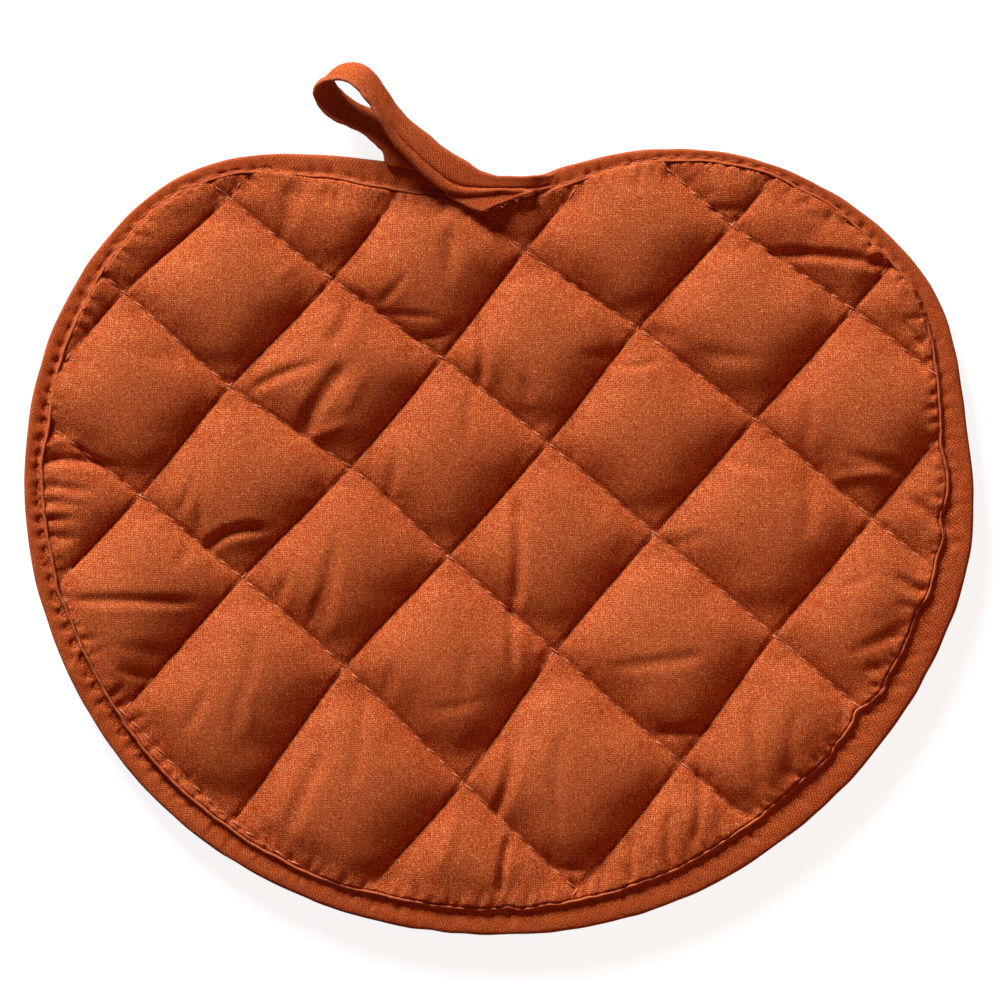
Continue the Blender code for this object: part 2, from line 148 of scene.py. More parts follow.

# --- Folds in the face ----------------------------------------------------------------
# Each runs from where it is deepest to where it fades out, through one bend.  Positions
# are in the photograph's pixels, width and depth in mm, and a ridge has a negative depth.
# Hold is the share of the way that it keeps its depth for.
FOLD_PRESS = 1.25
Fold = namedtuple("Fold", "start bend end width depth hold")
FOLDS = [
    # Top row of diamonds, left to right
    Fold((222, 190), (216, 200), (210, 212), 1.0, 0.40, 0.3),
    Fold((300, 262), (290, 268), (272, 285), 2.0, -0.25, 0.3),
    Fold((292, 188), (289, 212), (283, 240), 2.8, 0.60, 0.4),
    Fold((302, 186), (301, 198), (298, 214), 1.0, 0.35, 0.3),
    Fold((325, 188), (325, 200), (322, 212), 1.0, 0.35, 0.3),
    Fold((338, 190), (338, 202), (336, 214), 1.0, 0.35, 0.3),
    Fold((372, 305), (362, 296), (345, 288), 1.0, 0.35, 0.3),
    Fold((380, 302), (398, 285), (412, 266), 1.4, 0.40, 0.4),
    Fold((378, 313), (410, 315), (447, 318), 0.9, 0.45, 0.6),
    Fold((402, 337), (430, 337), (458, 331), 0.9, 0.45, 0.6),
    Fold((452, 232), (450, 258), (451, 288), 2.6, 0.60, 0.4),
    Fold((553, 226), (545, 240), (536, 250), 1.5, -0.30, 0.4),
    Fold((528, 400), (526, 390), (519, 372), 1.6, 0.45, 0.4),
    Fold((614, 364), (640, 366), (668, 357), 1.2, 0.60, 0.5),
    Fold((628, 352), (600, 357), (565, 352), 2.2, 0.35, 0.4),
    Fold((650, 330), (668, 336), (692, 345), 2.0, 0.30, 0.4),
    Fold((702, 352), (735, 357), (772, 355), 2.2, 0.30, 0.4),
    Fold((708, 210), (732, 209), (765, 210), 1.0, 0.50, 0.4),
    Fold((770, 254), (835, 256), (897, 268), 1.6, 1.00, 0.9),
    Fold((864, 233), (838, 221), (796, 214), 1.8, 0.40, 0.5),
    Fold((925, 350), (905, 325), (885, 305), 1.2, 0.50, 0.4),
    Fold((927, 374), (912, 360), (892, 344), 1.0, 0.50, 0.4),
    Fold((215, 362), (170, 357), (120, 352), 3.0, 0.25, 0.5),
    # The creased diamond right of the left corner
    Fold((350, 306), (342, 327), (328, 346), 2.4, 0.55, 0.8),
    Fold((254, 389), (285, 373), (330, 360), 1.6, 0.75, 0.5),
    Fold((303, 434), (318, 402), (348, 363), 2.6, 0.85, 0.8),
    Fold((308, 440), (330, 430), (352, 421), 1.6, -0.35, 0.6),
    Fold((362, 372), (352, 396), (338, 420), 2.0, -0.30, 0.6),
    # Middle rows
    Fold((43, 447), (66, 441), (90, 447), 1.6, -0.70, 0.5),
    Fold((47, 461), (78, 460), (122, 468), 1.5, 1.30, 0.5),
    Fold((43, 487), (75, 489), (105, 493), 1.2, 0.75, 0.4),
    Fold((43, 504), (70, 505), (90, 508), 1.0, 0.60, 0.4),
    Fold((45, 519), (68, 519), (85, 520), 1.0, 0.60, 0.4),
    Fold((49, 536), (68, 537), (85, 540), 1.0, 0.60, 0.4),
    Fold((178, 512), (190, 490), (200, 455), 1.5, 0.35, 0.5),
    Fold((200, 530), (203, 490), (206, 445), 1.6, 0.35, 0.5),
    Fold((206, 549), (235, 531), (272, 531), 1.7, 1.00, 0.7),
    Fold((190, 535), (185, 555), (170, 572), 2.0, 0.30, 0.4),
    Fold((72, 601), (120, 600), (200, 602), 1.5, 0.80, 0.8),
    Fold((190, 650), (150, 652), (105, 640), 2.2, 0.35, 0.5),
    Fold((150, 676), (130, 674), (112, 664), 0.9, 0.50, 0.5),
    Fold((318, 632), (329, 585), (338, 525), 2.6, 0.60, 0.6),
    Fold((278, 605), (283, 588), (290, 565), 1.5, 0.45, 0.4),
    Fold((310, 625), (316, 605), (325, 580), 1.6, 0.45, 0.4),
    Fold((254, 635), (253, 660), (248, 695), 2.3, 0.35, 0.5),
    Fold((388, 502), (393, 475), (398, 435), 2.0, 0.50, 0.4),
    Fold((473, 390), (468, 415), (470, 452), 2.2, 0.35, 0.5),
    Fold((480, 318), (483, 350), (480, 388), 1.8, 0.80, 0.8),
    Fold((518, 503), (519, 555), (516, 604), 1.9, 0.90, 0.9),
    Fold((512, 604), (512, 640), (513, 690), 1.8, 0.60, 0.5),
    Fold((465, 700), (465, 670), (470, 640), 2.5, 0.30, 0.4),
    Fold((385, 700), (390, 680), (400, 650), 2.4, 0.30, 0.4),
    Fold((552, 648), (545, 655), (538, 668), 1.2, 0.50, 0.4),
    Fold((700, 655), (660, 662), (600, 668), 1.8, 0.45, 0.6),
    Fold((722, 458), (750, 466), (790, 472), 1.6, 0.35, 0.5),
    Fold((808, 404), (808, 433), (806, 455), 2.2, 0.45, 0.5),
    Fold((805, 470), (810, 500), (802, 545), 2.6, 0.45, 0.6),
    Fold((668, 545), (690, 540), (715, 530), 1.8, 0.30, 0.4),
    Fold((905, 470), (870, 460), (840, 452), 2.0, 0.50, 0.5),
    Fold((826, 482), (855, 476), (895, 474), 1.6, -0.50, 0.6),
    Fold((938, 524), (925, 510), (900, 493), 1.8, 0.90, 0.5),
    Fold((926, 592), (905, 583), (887, 570), 1.8, 0.80, 0.5),
    Fold((845, 585), (858, 582), (872, 578), 1.5, 0.30, 0.4),
    Fold((905, 628), (880, 640), (845, 655), 1.8, 0.50, 0.5),
    Fold((893, 660), (875, 668), (850, 672), 1.3, 0.35, 0.4),
    # Lower rows
    Fold((208, 690), (195, 715), (180, 738), 2.0, 0.35, 0.6),
    Fold((240, 690), (236, 715), (230, 740), 1.6, 0.25, 0.6),
    Fold((252, 688), (251, 715), (248, 738), 1.0, -0.25, 0.6),
    Fold((322, 755), (303, 795), (285, 840), 2.6, 0.55, 0.7),
    Fold((253, 822), (258, 836), (266, 848), 0.9, -0.40, 0.5),
    Fold((318, 862), (316, 850), (312, 836), 1.1, 0.40, 0.4),
    Fold((364, 690), (360, 740), (352, 790), 2.4, 0.35, 0.8),
    Fold((480, 700), (450, 708), (415, 708), 1.5, 0.30, 0.5),
    Fold((512, 732), (510, 775), (494, 816), 1.9, 1.00, 0.9),
    Fold((458, 805), (447, 845), (436, 880), 1.8, -0.40, 0.6),
    Fold((509, 838), (503, 866), (500, 893), 1.3, 1.00, 0.9),
    Fold((546, 856), (560, 868), (592, 868), 1.2, 0.60, 0.6),
    Fold((562, 735), (556, 780), (560, 835), 2.2, 0.32, 0.8),
    Fold((631, 835), (632, 862), (629, 885), 1.1, 0.50, 0.8),
    Fold((600, 862), (602, 875), (602, 888), 0.9, 0.40, 0.6),
    Fold((712, 728), (685, 731), (652, 733), 1.5, 0.60, 0.8),
    Fold((757, 700), (754, 745), (762, 792), 1.9, 0.45, 0.9),
    Fold((793, 715), (790, 755), (783, 790), 2.2, 0.35, 0.8),
    Fold((697, 766), (700, 805), (692, 850), 1.3, 0.60, 0.8),
    Fold((672, 812), (669, 842), (671, 872), 1.7, 0.65, 0.9),
    Fold((719, 805), (721, 822), (720, 838), 0.9, 0.40, 0.6),
    Fold((843, 712), (842, 724), (844, 738), 0.9, 0.40, 0.6),
]

# --- Tape round the edge --------------------------------------------------------------
TAPE_STATIONS = 1320
EDGE_STEPS = 1440                   # for measuring lengths round the edge
TAPE_JOIN_BEARING = 195.0
TAPE_JOIN_SLANT = 3.0               # degrees across the band
TAPE_NARROW = 4.6 * MM              # on a narrower trim the folds shrink with it
TAPE_USUAL = 6.0 * MM               # the trim that the section is drawn for
TAPE_MEAN_REACH = 106.0 * MM
TapePoint = namedtuple("TapePoint", "share inset height rub pull")
TAPE_SECTION = [                    # share of the trim, then mm further out, height in mm, how pale it is drawn (wear and painted highlight), and how far a stitch pulls it in
    # how rubbed it is, and how far a stitch pulls it in
    TapePoint(1.00, 0.05, 4.70, 0.0, 0.0), TapePoint(1.00, -0.02, 5.15, 0.0, 0.0),
    TapePoint(1.00, 0.00, 5.66, 0.3, 0.0), TapePoint(1.00, 0.12, 6.00, 0.7, 0.0),
    TapePoint(1.00, 0.30, 6.20, 0.8, 0.0), TapePoint(1.00, 0.52, 6.18, 0.6, 0.1),
    TapePoint(1.00, 0.74, 5.94, 0.2, 0.3), TapePoint(1.00, 0.90, 5.58, 0.0, 0.7),
    TapePoint(1.00, 1.04, 5.34, 0.0, 0.9), TapePoint(1.00, 1.24, 5.27, 0.0, 1.0),
    TapePoint(1.00, 1.60, 5.30, 0.0, 0.8), TapePoint(0.62, 0.00, 5.34, 0.0, 0.55),
    TapePoint(0.52, 0.00, 5.38, 0.0, 0.35), TapePoint(0.42, 0.00, 5.42, 0.0, 0.2),
    TapePoint(0.31, 0.00, 5.44, 0.0, 0.1), TapePoint(0.20, 0.00, 5.42, 0.0, 0.0),
    TapePoint(0.10, 0.00, 5.34, 0.1, 0.0), TapePoint(0.03, 0.00, 5.16, 0.2, 0.0),
    TapePoint(0.00, 0.00, 4.40, 0.3, 0.0), TapePoint(0.00, 0.00, 2.80, 0.3, 0.0),
    TapePoint(0.03, 0.00, 2.00, 0.5, 0.0), TapePoint(0.11, 0.00, 1.20, 0.3, 0.0),
    TapePoint(0.24, 0.00, 0.72, 0.2, 0.0), TapePoint(0.42, 0.00, 0.52, 0.2, -0.1),
    TapePoint(1.00, 2.40, 0.60, 0.1, -0.3), TapePoint(1.00, 1.80, 0.90, 0.0, -0.3),
    TapePoint(1.00, 1.20, 0.55, 0.3, -0.1), TapePoint(1.00, 0.50, 0.50, 0.6, 0.0),
    TapePoint(1.00, 0.00, 0.75, 0.3, 0.0), TapePoint(1.00, -0.05, 1.20, 0.0, 0.0),
    TapePoint(1.00, 0.10, 1.65, 0.0, 0.0), TapePoint(0.60, 0.00, 1.70, 0.0, 0.0),
    TapePoint(0.00, 1.90, 1.70, 0.0, 0.0), TapePoint(0.00, 1.35, 2.00, 0.0, 0.0),
    TapePoint(0.00, 1.20, 2.60, 0.0, 0.0), TapePoint(0.00, 1.20, 3.60, 0.0, 0.0),
    TapePoint(0.00, 1.35, 4.15, 0.0, 0.0), TapePoint(0.00, 1.90, 4.50, 0.0, 0.0),
    TapePoint(0.60, 0.00, 4.60, 0.0, 0.0),
]
GROOVE_INSET = 1.15 * MM            # where the topstitching runs, outside the inner fold
TUCK_INSET = 1.3 * MM               # and where the band's tucks start
TAPE_WELT = 7                       # points of the section before the band,
TAPE_TOP = 18                       # before the nose
TAPE_NOSE = 23                      # and before the underside
EDGE_STITCH_PITCH = 3.8 * MM
STITCH_PULL = 0.30 * MM
WELT_WANDER = 0.35 * MM
BAND_WRINKLE = 0.16 * MM
WELT_WRINKLE = 0.22 * MM
EDGE_STRAY = 0.22 * MM              # how far the outer edge strays
LAP_RISE = 0.45 * MM
LEFT_TROUGH = 1.10 * MM             # how deep the band sinks beside its fold on the left
TOP_FILL = 0.22 * MM                # and how far it rises there along the top
WELT_RISE = (-0.22 * MM, 0.45 * MM)          # the fold itself, along the top and on the left
# The padding pushes the tape's inner fold out, and a quilting seam draws it in:
# where, how far inwards in mm, and over how many degrees.
Kink = namedtuple("Kink", "spot inwards spread")
KINKS = [
    Kink((946, 480), -0.7, 3.0), Kink((938, 517), 0.9, 1.6), Kink((943, 538), -0.5, 1.6),
    Kink((934, 560), 0.4, 1.6), Kink((930, 592), -0.6, 1.6), Kink((915, 617), 0.4, 1.6),
    Kink((880, 694), -0.5, 1.5), Kink((856, 712), 1.1, 1.4), Kink((838, 745), 0.4, 1.3),
    Kink((828, 764), -0.5, 1.3), Kink((50, 430), 0.4, 2.0), Kink((46, 468), -0.4, 2.0),
    Kink((62, 592), -0.5, 1.8), Kink((125, 713), 0.5, 1.6), Kink((509, 899), 0.5, 1.0),
]

# --- Hanging loop, as in the solids ---------------------------------------------------
LOOP_THICKNESS = 1.0 * MM
LOOP_SUBSTEPS = 10
LOOP_HALF_WIDTH = 4.2 * MM
LOOP_STITCH_SHARE = 0.38            # where its row of stitches runs, as a share of this
LOOP_PUCKER = 0.35 * MM
RAW_EDGE = 1.2 * MM                 # how unevenly its raw end is cut
RAW_THREADS = 20                    # yarns that hang out of it
RAW_THREAD_RADIUS = 0.08 * MM
Tape = namedtuple("Tape", "x y z across tilt width")
LOOP_ROWS = [                       # x, y, z and width in mm, across and tilt in degrees
    Tape(13.0, 76.6, 4.9, 258, 0, 4.2),
    Tape(9.6, 75.9, 6.0, 255, 0, 4.4),
    Tape(6.0, 75.6, 7.5, 255, 0, 4.4),
    Tape(0.0, 75.6, 8.1, 263, 0, 4.0),
    Tape(-5.0, 76.0, 8.0, 252, 0, 5.8),
    Tape(-10.3, 77.4, 8.2, 230, 4, 9.2),
    Tape(-17.2, 82.4, 9.2, 225, 18, 8.6),
    Tape(-23.1, 87.8, 10.7, 222, 34, 8.5),
    Tape(-26.7, 92.4, 11.9, 212, 48, 8.3),
    Tape(-29.4, 96.6, 12.5, 214, 50, 8.3),
    Tape(-32.3, 100.3, 12.6, 221, 46, 8.3),
    Tape(-34.9, 102.1, 12.0, 223, 45, 8.4),
    Tape(-37.9, 102.6, 10.9, 223, 45, 8.5),
    Tape(-40.8, 101.8, 9.2, 223, 45, 8.5),
    Tape(-42.4, 100.0, 7.4, 224, 45, 8.6),
    Tape(-41.7, 97.5, 5.8, 226, 43, 8.8),
    Tape(-39.2, 94.8, 4.7, 228, 41, 8.9),
    Tape(-35.7, 92.7, 4.3, 229, 40, 8.7),
    Tape(-31.8, 91.0, 4.4, 229, 38, 8.5),
    Tape(-28.3, 88.9, 5.0, 228, 30, 8.5),
    Tape(-25.3, 86.2, 6.0, 224, 12, 8.4),
    Tape(-23.3, 82.3, 6.4, 208, 2, 8.0),
    Tape(-19.8, 81.2, 6.5, 212, 0, 5.8),
    Tape(-14.4, 79.0, 6.7, 222, 0, 6.0),
    Tape(-7.0, 74.4, 7.3, 212, 2, 9.8),
    Tape(2.0, 71.5, 8.0, 200, 2, 14.3),
]
LOOP_SECTION = [                    # share of half the width, share of half the thickness
    (-1.00, 0.00), (-0.985, 0.70), (-0.90, 1.05), (-0.72, 1.10), (-0.50, 0.90),
    (0.00, 0.85), (0.24, 0.80), (0.32, 0.50), (0.38, -0.25), (0.44, 0.50), (0.54, 1.20),
    (0.70, 1.45), (0.86, 1.25), (0.97, 0.75), (1.00, 0.00), (0.97, -0.70), (0.86, -1.00),
    (0.50, -0.95), (0.00, -0.90), (-0.50, -0.95), (-0.86, -1.00), (-0.97, -0.70),
]

# --- Stitches -------------------------------------------------------------------------
STITCH_PITCH = 4.2 * MM
STITCH_LENGTH = 3.8 * MM
THREAD_RADIUS = 0.15 * MM
STITCH_BOW = 0.45 * MM              # how far a stitch's ends dip into their holes
STITCH_LIFT = {"falling": 0.20 * MM, "rising": 0.05 * MM}
EDGE_STITCH_SINK = 0.03 * MM
HOLE_SIZE = 0.55 * MM
HOLE_DEPTH = 0.40 * MM
RUN_OF_STITCHES = 25

# --- Cotton ---------------------------------------------------------------------------
WAVE_PERIOD = math.pi / 10.0        # of Blender's wave texture at scale 1
WARP_SHARE = 0.87                   # warp yarns lie a little further apart than weft
YARN_WANDER = 0.8 * MM
WEAVE_RELIEF = 0.12 * MM
FACE_WEAVE = 0.50 * MM              # the real 0.42 mm drawn coarser, so that it shows
TAPE_WEAVE = 0.54 * MM


def photo_point(px, py):
    """The place on the pad of a pixel of the photograph."""
    return Vector(((px - PHOTO_CENTRE) * PHOTO_PIXEL, (PHOTO_CENTRE - py) * PHOTO_PIXEL))


def clamp01(value):
    """The value held between 0 and 1."""
    return min(max(value, 0.0), 1.0)


def smooth_step(low, high, value):
    """0 below low and 1 above high, with a soft S between them."""
    t = clamp01((value - low) / (high - low))
    return t * t * (3.0 - 2.0 * t)


# --- Camera, floor and light ----------------------------------------------------------


def set_camera():
    """Straight above and far off, framed as the photograph is."""
    width = 2.0 * PHOTO_CENTRE * PHOTO_PIXEL
    data = bpy.data.cameras.new("straight_above")
    data.lens = CAMERA_LENS
    data.sensor_width = CAMERA_SENSOR
    data.clip_start = 0.05
    data.clip_end = 20.0
    camera = bpy.data.objects.new("straight_above", data)
    camera.location = (0.0, 0.0, CHANNEL_TOP + width * CAMERA_LENS / CAMERA_SENSOR)
    bpy.context.scene.collection.objects.link(camera)
    bpy.context.scene.camera = camera


def set_stage(floor_finish):
    """The pale floor that the pot holder lies on."""
    bm = bmesh.new()
    bmesh.ops.create_grid(bm, x_segments=1, y_segments=1, size=FLOOR_SIZE / 2)
    mesh = bpy.data.meshes.new("floor")
    bm.to_mesh(mesh)
    bm.free()
    mesh.materials.append(floor_finish)
    floor = bpy.data.objects.new("floor", mesh)
    bpy.context.scene.collection.objects.link(floor)


def add_softbox(name, place, size, power, tint="#FFFFFF"):
    """A round softbox that faces the pad."""
    data = bpy.data.lights.new(name, "AREA")
    data.shape = "DISK"
    data.size = size
    data.energy = power
    data.color = colour(tint)[:3]
    lamp = bpy.data.objects.new(name, data)
    lamp.location = place
    lamp.rotation_euler = place.to_track_quat("Z", "Y").to_euler()
    bpy.context.scene.collection.objects.link(lamp)


def set_light():
    """One low softbox from the top left rakes the puffs, and a weak warm fill stands opposite."""
    elevation = math.radians(KEY_ELEVATION)
    bearing = math.radians(KEY_BEARING)
    towards = Vector((
        math.cos(elevation) * math.cos(bearing),
        math.cos(elevation) * math.sin(bearing),
        math.sin(elevation),
    ))
    add_softbox("raking_softbox", towards * KEY_DISTANCE, KEY_SIZE, KEY_POWER)
    add_softbox("warm_fill", FILL_PLACE, FILL_SIZE, FILL_POWER, FILL_COLOUR)

    world = bpy.data.worlds.new("pale_studio")
    world.use_nodes = True
    air = world.node_tree.nodes["Background"]
    air.inputs["Color"].default_value = colour(AIR_COLOUR)
    air.inputs["Strength"].default_value = AIR_STRENGTH
    bpy.context.scene.world = world
    bpy.context.scene.view_settings.view_transform = "Standard"


# --- Materials ------------------------------------------------------------------------


def colour(code):
    """An sRGB hex colour as the linear colour that a shader takes."""
    def linear(channel):
        level = int(code[channel:channel + 2], 16) / 255.0
        return level / 12.92 if level <= 0.04045 else ((level + 0.055) / 1.055) ** 2.4
    return (linear(1), linear(3), linear(5), 1.0)


def add_node(tree, kind, inputs, **settings):
    """A node with its settings, and its inputs set to values or linked to outputs."""
    made = tree.nodes.new(kind)
    for name, value in settings.items():
        setattr(made, name, value)
    for name, value in inputs.items():
        if isinstance(value, bpy.types.NodeSocket):
            tree.links.new(value, made.inputs[name])
        else:
            made.inputs[name].default_value = value
    return made


def new_finish(name):
    """A material with its node tree and its shader."""
    finish = bpy.data.materials.new(name)
    finish.use_nodes = True
    return finish, finish.node_tree, finish.node_tree.nodes["Principled BSDF"]


def colour_ramp(tree, fac, stops):
    """The colour between stops of a position and an sRGB code."""
    ramp = add_node(tree, "ShaderNodeValToRGB", {"Fac": fac})
    elements = ramp.color_ramp.elements
    while len(elements) < len(stops):
        elements.new(0.5)
    for element, (position, code) in zip(elements, stops):
        element.position = position
        element.color = colour(code)
    return ramp.outputs["Color"]


def per_mm(count):
    """The scale of a texture with this many cells to a millimetre."""
    return count / MM


def plain_weave(name, follow_tape, pitch, deep, body, lit, wear_and_highlight_colour):
    """Plain-woven cotton, dyed burnt orange: matt, faintly furry, with uneven yarns."""
    finish, tree, shader = new_finish(name)
    place = add_node(tree, "ShaderNodeTexCoord", {})
    if follow_tape:
        turned = add_node(tree, "ShaderNodeMapping", {
            "Vector": place.outputs["UV"], "Rotation": (0.0, 0.0, math.radians(45.0))})
    else:
        turned = add_node(tree, "ShaderNodeMapping", {"Vector": place.outputs["Object"]})
    # The yarns wander: the cloth has been pulled about by its quilting.
    drift = add_node(tree, "ShaderNodeTexNoise", {
        "Vector": turned.outputs["Vector"], "Scale": per_mm(0.26), "Detail": 3.0})
    off_centre = add_node(tree, "ShaderNodeVectorMath", {
        0: drift.outputs["Color"], 1: (0.5, 0.5, 0.5)}, operation="SUBTRACT")
    wander = add_node(tree, "ShaderNodeVectorMath", {
        0: off_centre.outputs["Vector"], 1: (YARN_WANDER, YARN_WANDER, 0.0),
        2: turned.outputs["Vector"]}, operation="MULTIPLY_ADD")
    at = wander.outputs["Vector"]
    scale = WAVE_PERIOD / pitch
    yarns = []
    for direction, ratio in (("X", WARP_SHARE), ("Y", 1.0)):
        yarn = add_node(tree, "ShaderNodeTexWave", {
            "Vector": at, "Scale": scale * ratio, "Distortion": 1.1, "Detail": 2.0,
            "Detail Scale": 0.6, "Detail Roughness": 0.6}, bands_direction=direction)
        yarns.append(yarn.outputs["Fac"])
    crossed = add_node(tree, "ShaderNodeMath", {0: yarns[0], 1: 0.6, 2: yarns[1]},
                       operation="MULTIPLY_ADD")
    # Single yarns are thicker or thinner, and lighter or darker, than their neighbours.
    slubs = []
    for stretch in ((1.9, 0.52, 0.1), (0.42, 1.9, 0.1)):
        along = add_node(tree, "ShaderNodeMapping", {
            "Vector": at, "Scale": tuple(per_mm(count) for count in stretch)})
        slub = add_node(tree, "ShaderNodeTexNoise", {
            "Vector": along.outputs["Vector"], "Scale": 1.0, "Detail": 1.0})
        slubs.append(slub.outputs["Fac"])
    slubbed = add_node(tree, "ShaderNodeMath", {
        0: slubs[1], 1: 0.7, 2: slubs[0]}, operation="MULTIPLY_ADD")
    weave = add_node(tree, "ShaderNodeMath", {
        0: crossed.outputs[0], 1: 0.85, 2: slubbed.outputs[0]}, operation="MULTIPLY_ADD")
    # Loose fibres stand off the yarns, drawn 0.17 mm apart so that they show.
    fuzz = add_node(tree, "ShaderNodeTexNoise", {
        "Vector": at, "Scale": per_mm(5.8), "Detail": 0.0})
    furry = add_node(tree, "ShaderNodeMath", {
        0: fuzz.outputs["Fac"], 1: 7.5, 2: weave.outputs[0]}, operation="MULTIPLY_ADD")
    grain = add_node(tree, "ShaderNodeMapRange", {
        "Value": furry.outputs[0], "From Min": 2.85, "From Max": 7.65})
    # The grain colours the yarns: darker between them and palest on their tops, painted shade and
    # painted highlight over their own uneven tone.
    body_colour = colour_ramp(tree, grain.outputs[0],
                              [(0.0, deep), (0.56, body), (1.0, lit)])
    # The dye took unevenly over a few centimetres.
    patches = add_node(tree, "ShaderNodeTexNoise", {
        "Vector": place.outputs["Object"], "Scale": per_mm(0.034), "Detail": 3.0})
    patch_tint = colour_ramp(tree, patches.outputs["Fac"],
                             [(0.3, "#F0E4D8"), (0.7, "#FFFFFF")])
    dyed = add_node(tree, "ShaderNodeMixRGB", {
        "Fac": 1.0, "Color1": body_colour, "Color2": patch_tint}, blend_type="MULTIPLY")
    # Crests, the tape's folds and the loop's edges are drawn paler: partly wear, partly painted
    # highlight.
    wear_and_highlight = add_node(tree, "ShaderNodeAttribute", {}, attribute_name="wear_and_highlight")
    wear_highlight_share = add_node(tree, "ShaderNodeMath", {
        0: wear_and_highlight.outputs["Fac"], 1: 0.3}, operation="MULTIPLY")
    worn_and_highlit = add_node(tree, "ShaderNodeMixRGB", {
        "Fac": wear_highlight_share.outputs[0], "Color1": dyed.outputs["Color"],
        "Color2": colour(wear_and_highlight_colour)})
    bump = add_node(tree, "ShaderNodeBump", {
        "Height": grain.outputs[0], "Strength": 0.5, "Distance": WEAVE_RELIEF})
    tree.links.new(worn_and_highlit.outputs["Color"], shader.inputs["Base Color"])
    tree.links.new(bump.outputs["Normal"], shader.inputs["Normal"])
    shader.inputs["Roughness"].default_value = 0.78
    shader.inputs["Specular IOR Level"].default_value = 0.12
    shader.inputs["Sheen Weight"].default_value = 0.03
    shader.inputs["Sheen Roughness"].default_value = 0.4
    shader.inputs["Sheen Tint"].default_value = colour("#F2A070")
    return finish


def spun_thread(name, dark, light):
    """Cotton-wrapped sewing thread: smoother than the cloth, so it catches the light."""
    finish, tree, shader = new_finish(name)
    place = add_node(tree, "ShaderNodeTexCoord", {})
    shades = add_node(tree, "ShaderNodeTexNoise", {
        "Vector": place.outputs["Object"], "Scale": per_mm(0.9), "Detail": 2.0})
    tint = colour_ramp(tree, shades.outputs["Fac"], [(0.3, dark), (0.7, light)])
    tree.links.new(tint, shader.inputs["Base Color"])
    shader.inputs["Roughness"].default_value = 0.6
    shader.inputs["Sheen Weight"].default_value = 0.05
    return finish


def pale_floor():
    """Matt white paper on a light table, a little uneven, so that shadows stay faint.

    It glows for the eye alone: the underside of the loop is as dark as in the photograph.
    """
    finish, tree, shader = new_finish("matt white paper")
    place = add_node(tree, "ShaderNodeTexCoord", {})
    tone = add_node(tree, "ShaderNodeTexNoise", {
        "Vector": place.outputs["Object"], "Scale": per_mm(0.003), "Detail": 2.0})
    shade = colour_ramp(tree, tone.outputs["Fac"], [(0.2, "#8E8F90"), (0.8, "#929394")])
    tree.links.new(shade, shader.inputs["Base Color"])
    shader.inputs["Emission Color"].default_value = (1.0, 1.0, 1.0, 1.0)
    seen = add_node(tree, "ShaderNodeLightPath", {})
    glow = add_node(tree, "ShaderNodeMath", {
        0: seen.outputs["Is Camera Ray"], 1: FLOOR_GLOW}, operation="MULTIPLY")
    tree.links.new(glow.outputs[0], shader.inputs["Emission Strength"])
    shader.inputs["Roughness"].default_value = 0.9
    return finish


# --- Outline and quilting -------------------------------------------------------------


def cubic_blend(p0, p1, p2, p3, t):
    """The smooth curve through p1 and p2 that p0 and p3 lead into and out of."""
    return 0.5 * (
        2 * p1 + (p2 - p0) * t
        + (2 * p0 - 5 * p1 + 4 * p2 - p3) * t * t
        + (3 * p1 - p0 - 3 * p2 + p3) * t ** 3
    )


def edge_value(bearing, column):
    """A column of the edge table at any bearing, on a smooth curve round the pad."""
    bearing %= 360.0
    count = len(EDGE_ROWS)
    index = max(i for i, row in enumerate(EDGE_ROWS) if row.bearing <= bearing)
    near = [EDGE_ROWS[(index + step) % count] for step in (-1, 0, 1, 2)]
    span = (near[2].bearing - near[1].bearing) % 360.0
    before = (near[1].bearing - near[0].bearing) % 360.0
    after = (near[3].bearing - near[2].bearing) % 360.0
    value = [getattr(row, column) for row in near]
    slope_in = (value[2] - value[0]) / (span + before) * span
    slope_out = (value[3] - value[1]) / (span + after) * span
    t = (bearing - near[1].bearing) / span
    rise = value[2] - value[1]
    return MM * (
        value[1] + slope_in * t
        + (3 * rise - 2 * slope_in - slope_out) * t ** 2
        + (slope_in + slope_out - 2 * rise) * t ** 3
    )


def radial_stretch(bearing):
    """How much longer a way across the edge is along the bearing than square to it."""
    step = 1.0
    change = edge_value(bearing + step, "reach") - edge_value(bearing - step, "reach")
    slope = change / (2 * math.radians(step) * edge_value(bearing, "reach"))
    return math.hypot(1.0, slope)


def edge_point(bearing, setback):
    """A point in plan, this far inside the tape's outer edge."""
    reach = edge_value(bearing, "reach") - setback * radial_stretch(bearing)
    angle = math.radians(bearing)
    return MIDDLE + reach * Vector((math.cos(angle), math.sin(angle)))


def bearing_of(point):
    """Degrees from +X round the pad's middle."""
    offset = point - MIDDLE
    return math.degrees(math.atan2(offset.y, offset.x)) % 360.0


def welt_distance(point):
    """How far a point in plan lies inside the folded inner edge of the tape."""
    bearing = bearing_of(point)
    stretch = radial_stretch(bearing)
    welt_reach = edge_value(bearing, "reach") - edge_value(bearing, "trim") * stretch
    return (welt_reach - (point - MIDDLE).length) / stretch


def even_crossing(falling, rising):
    """Where two seams would cross if all were straight and evenly spaced."""
    home = next(row for row in CROSSINGS if (row.falling, row.rising) == HOME_CROSSING)
    start = Vector((home.x, home.y)) * MM
    return (start + FALLING_PITCH * (falling - home.falling)
            + RISING_PITCH * (rising - home.rising))


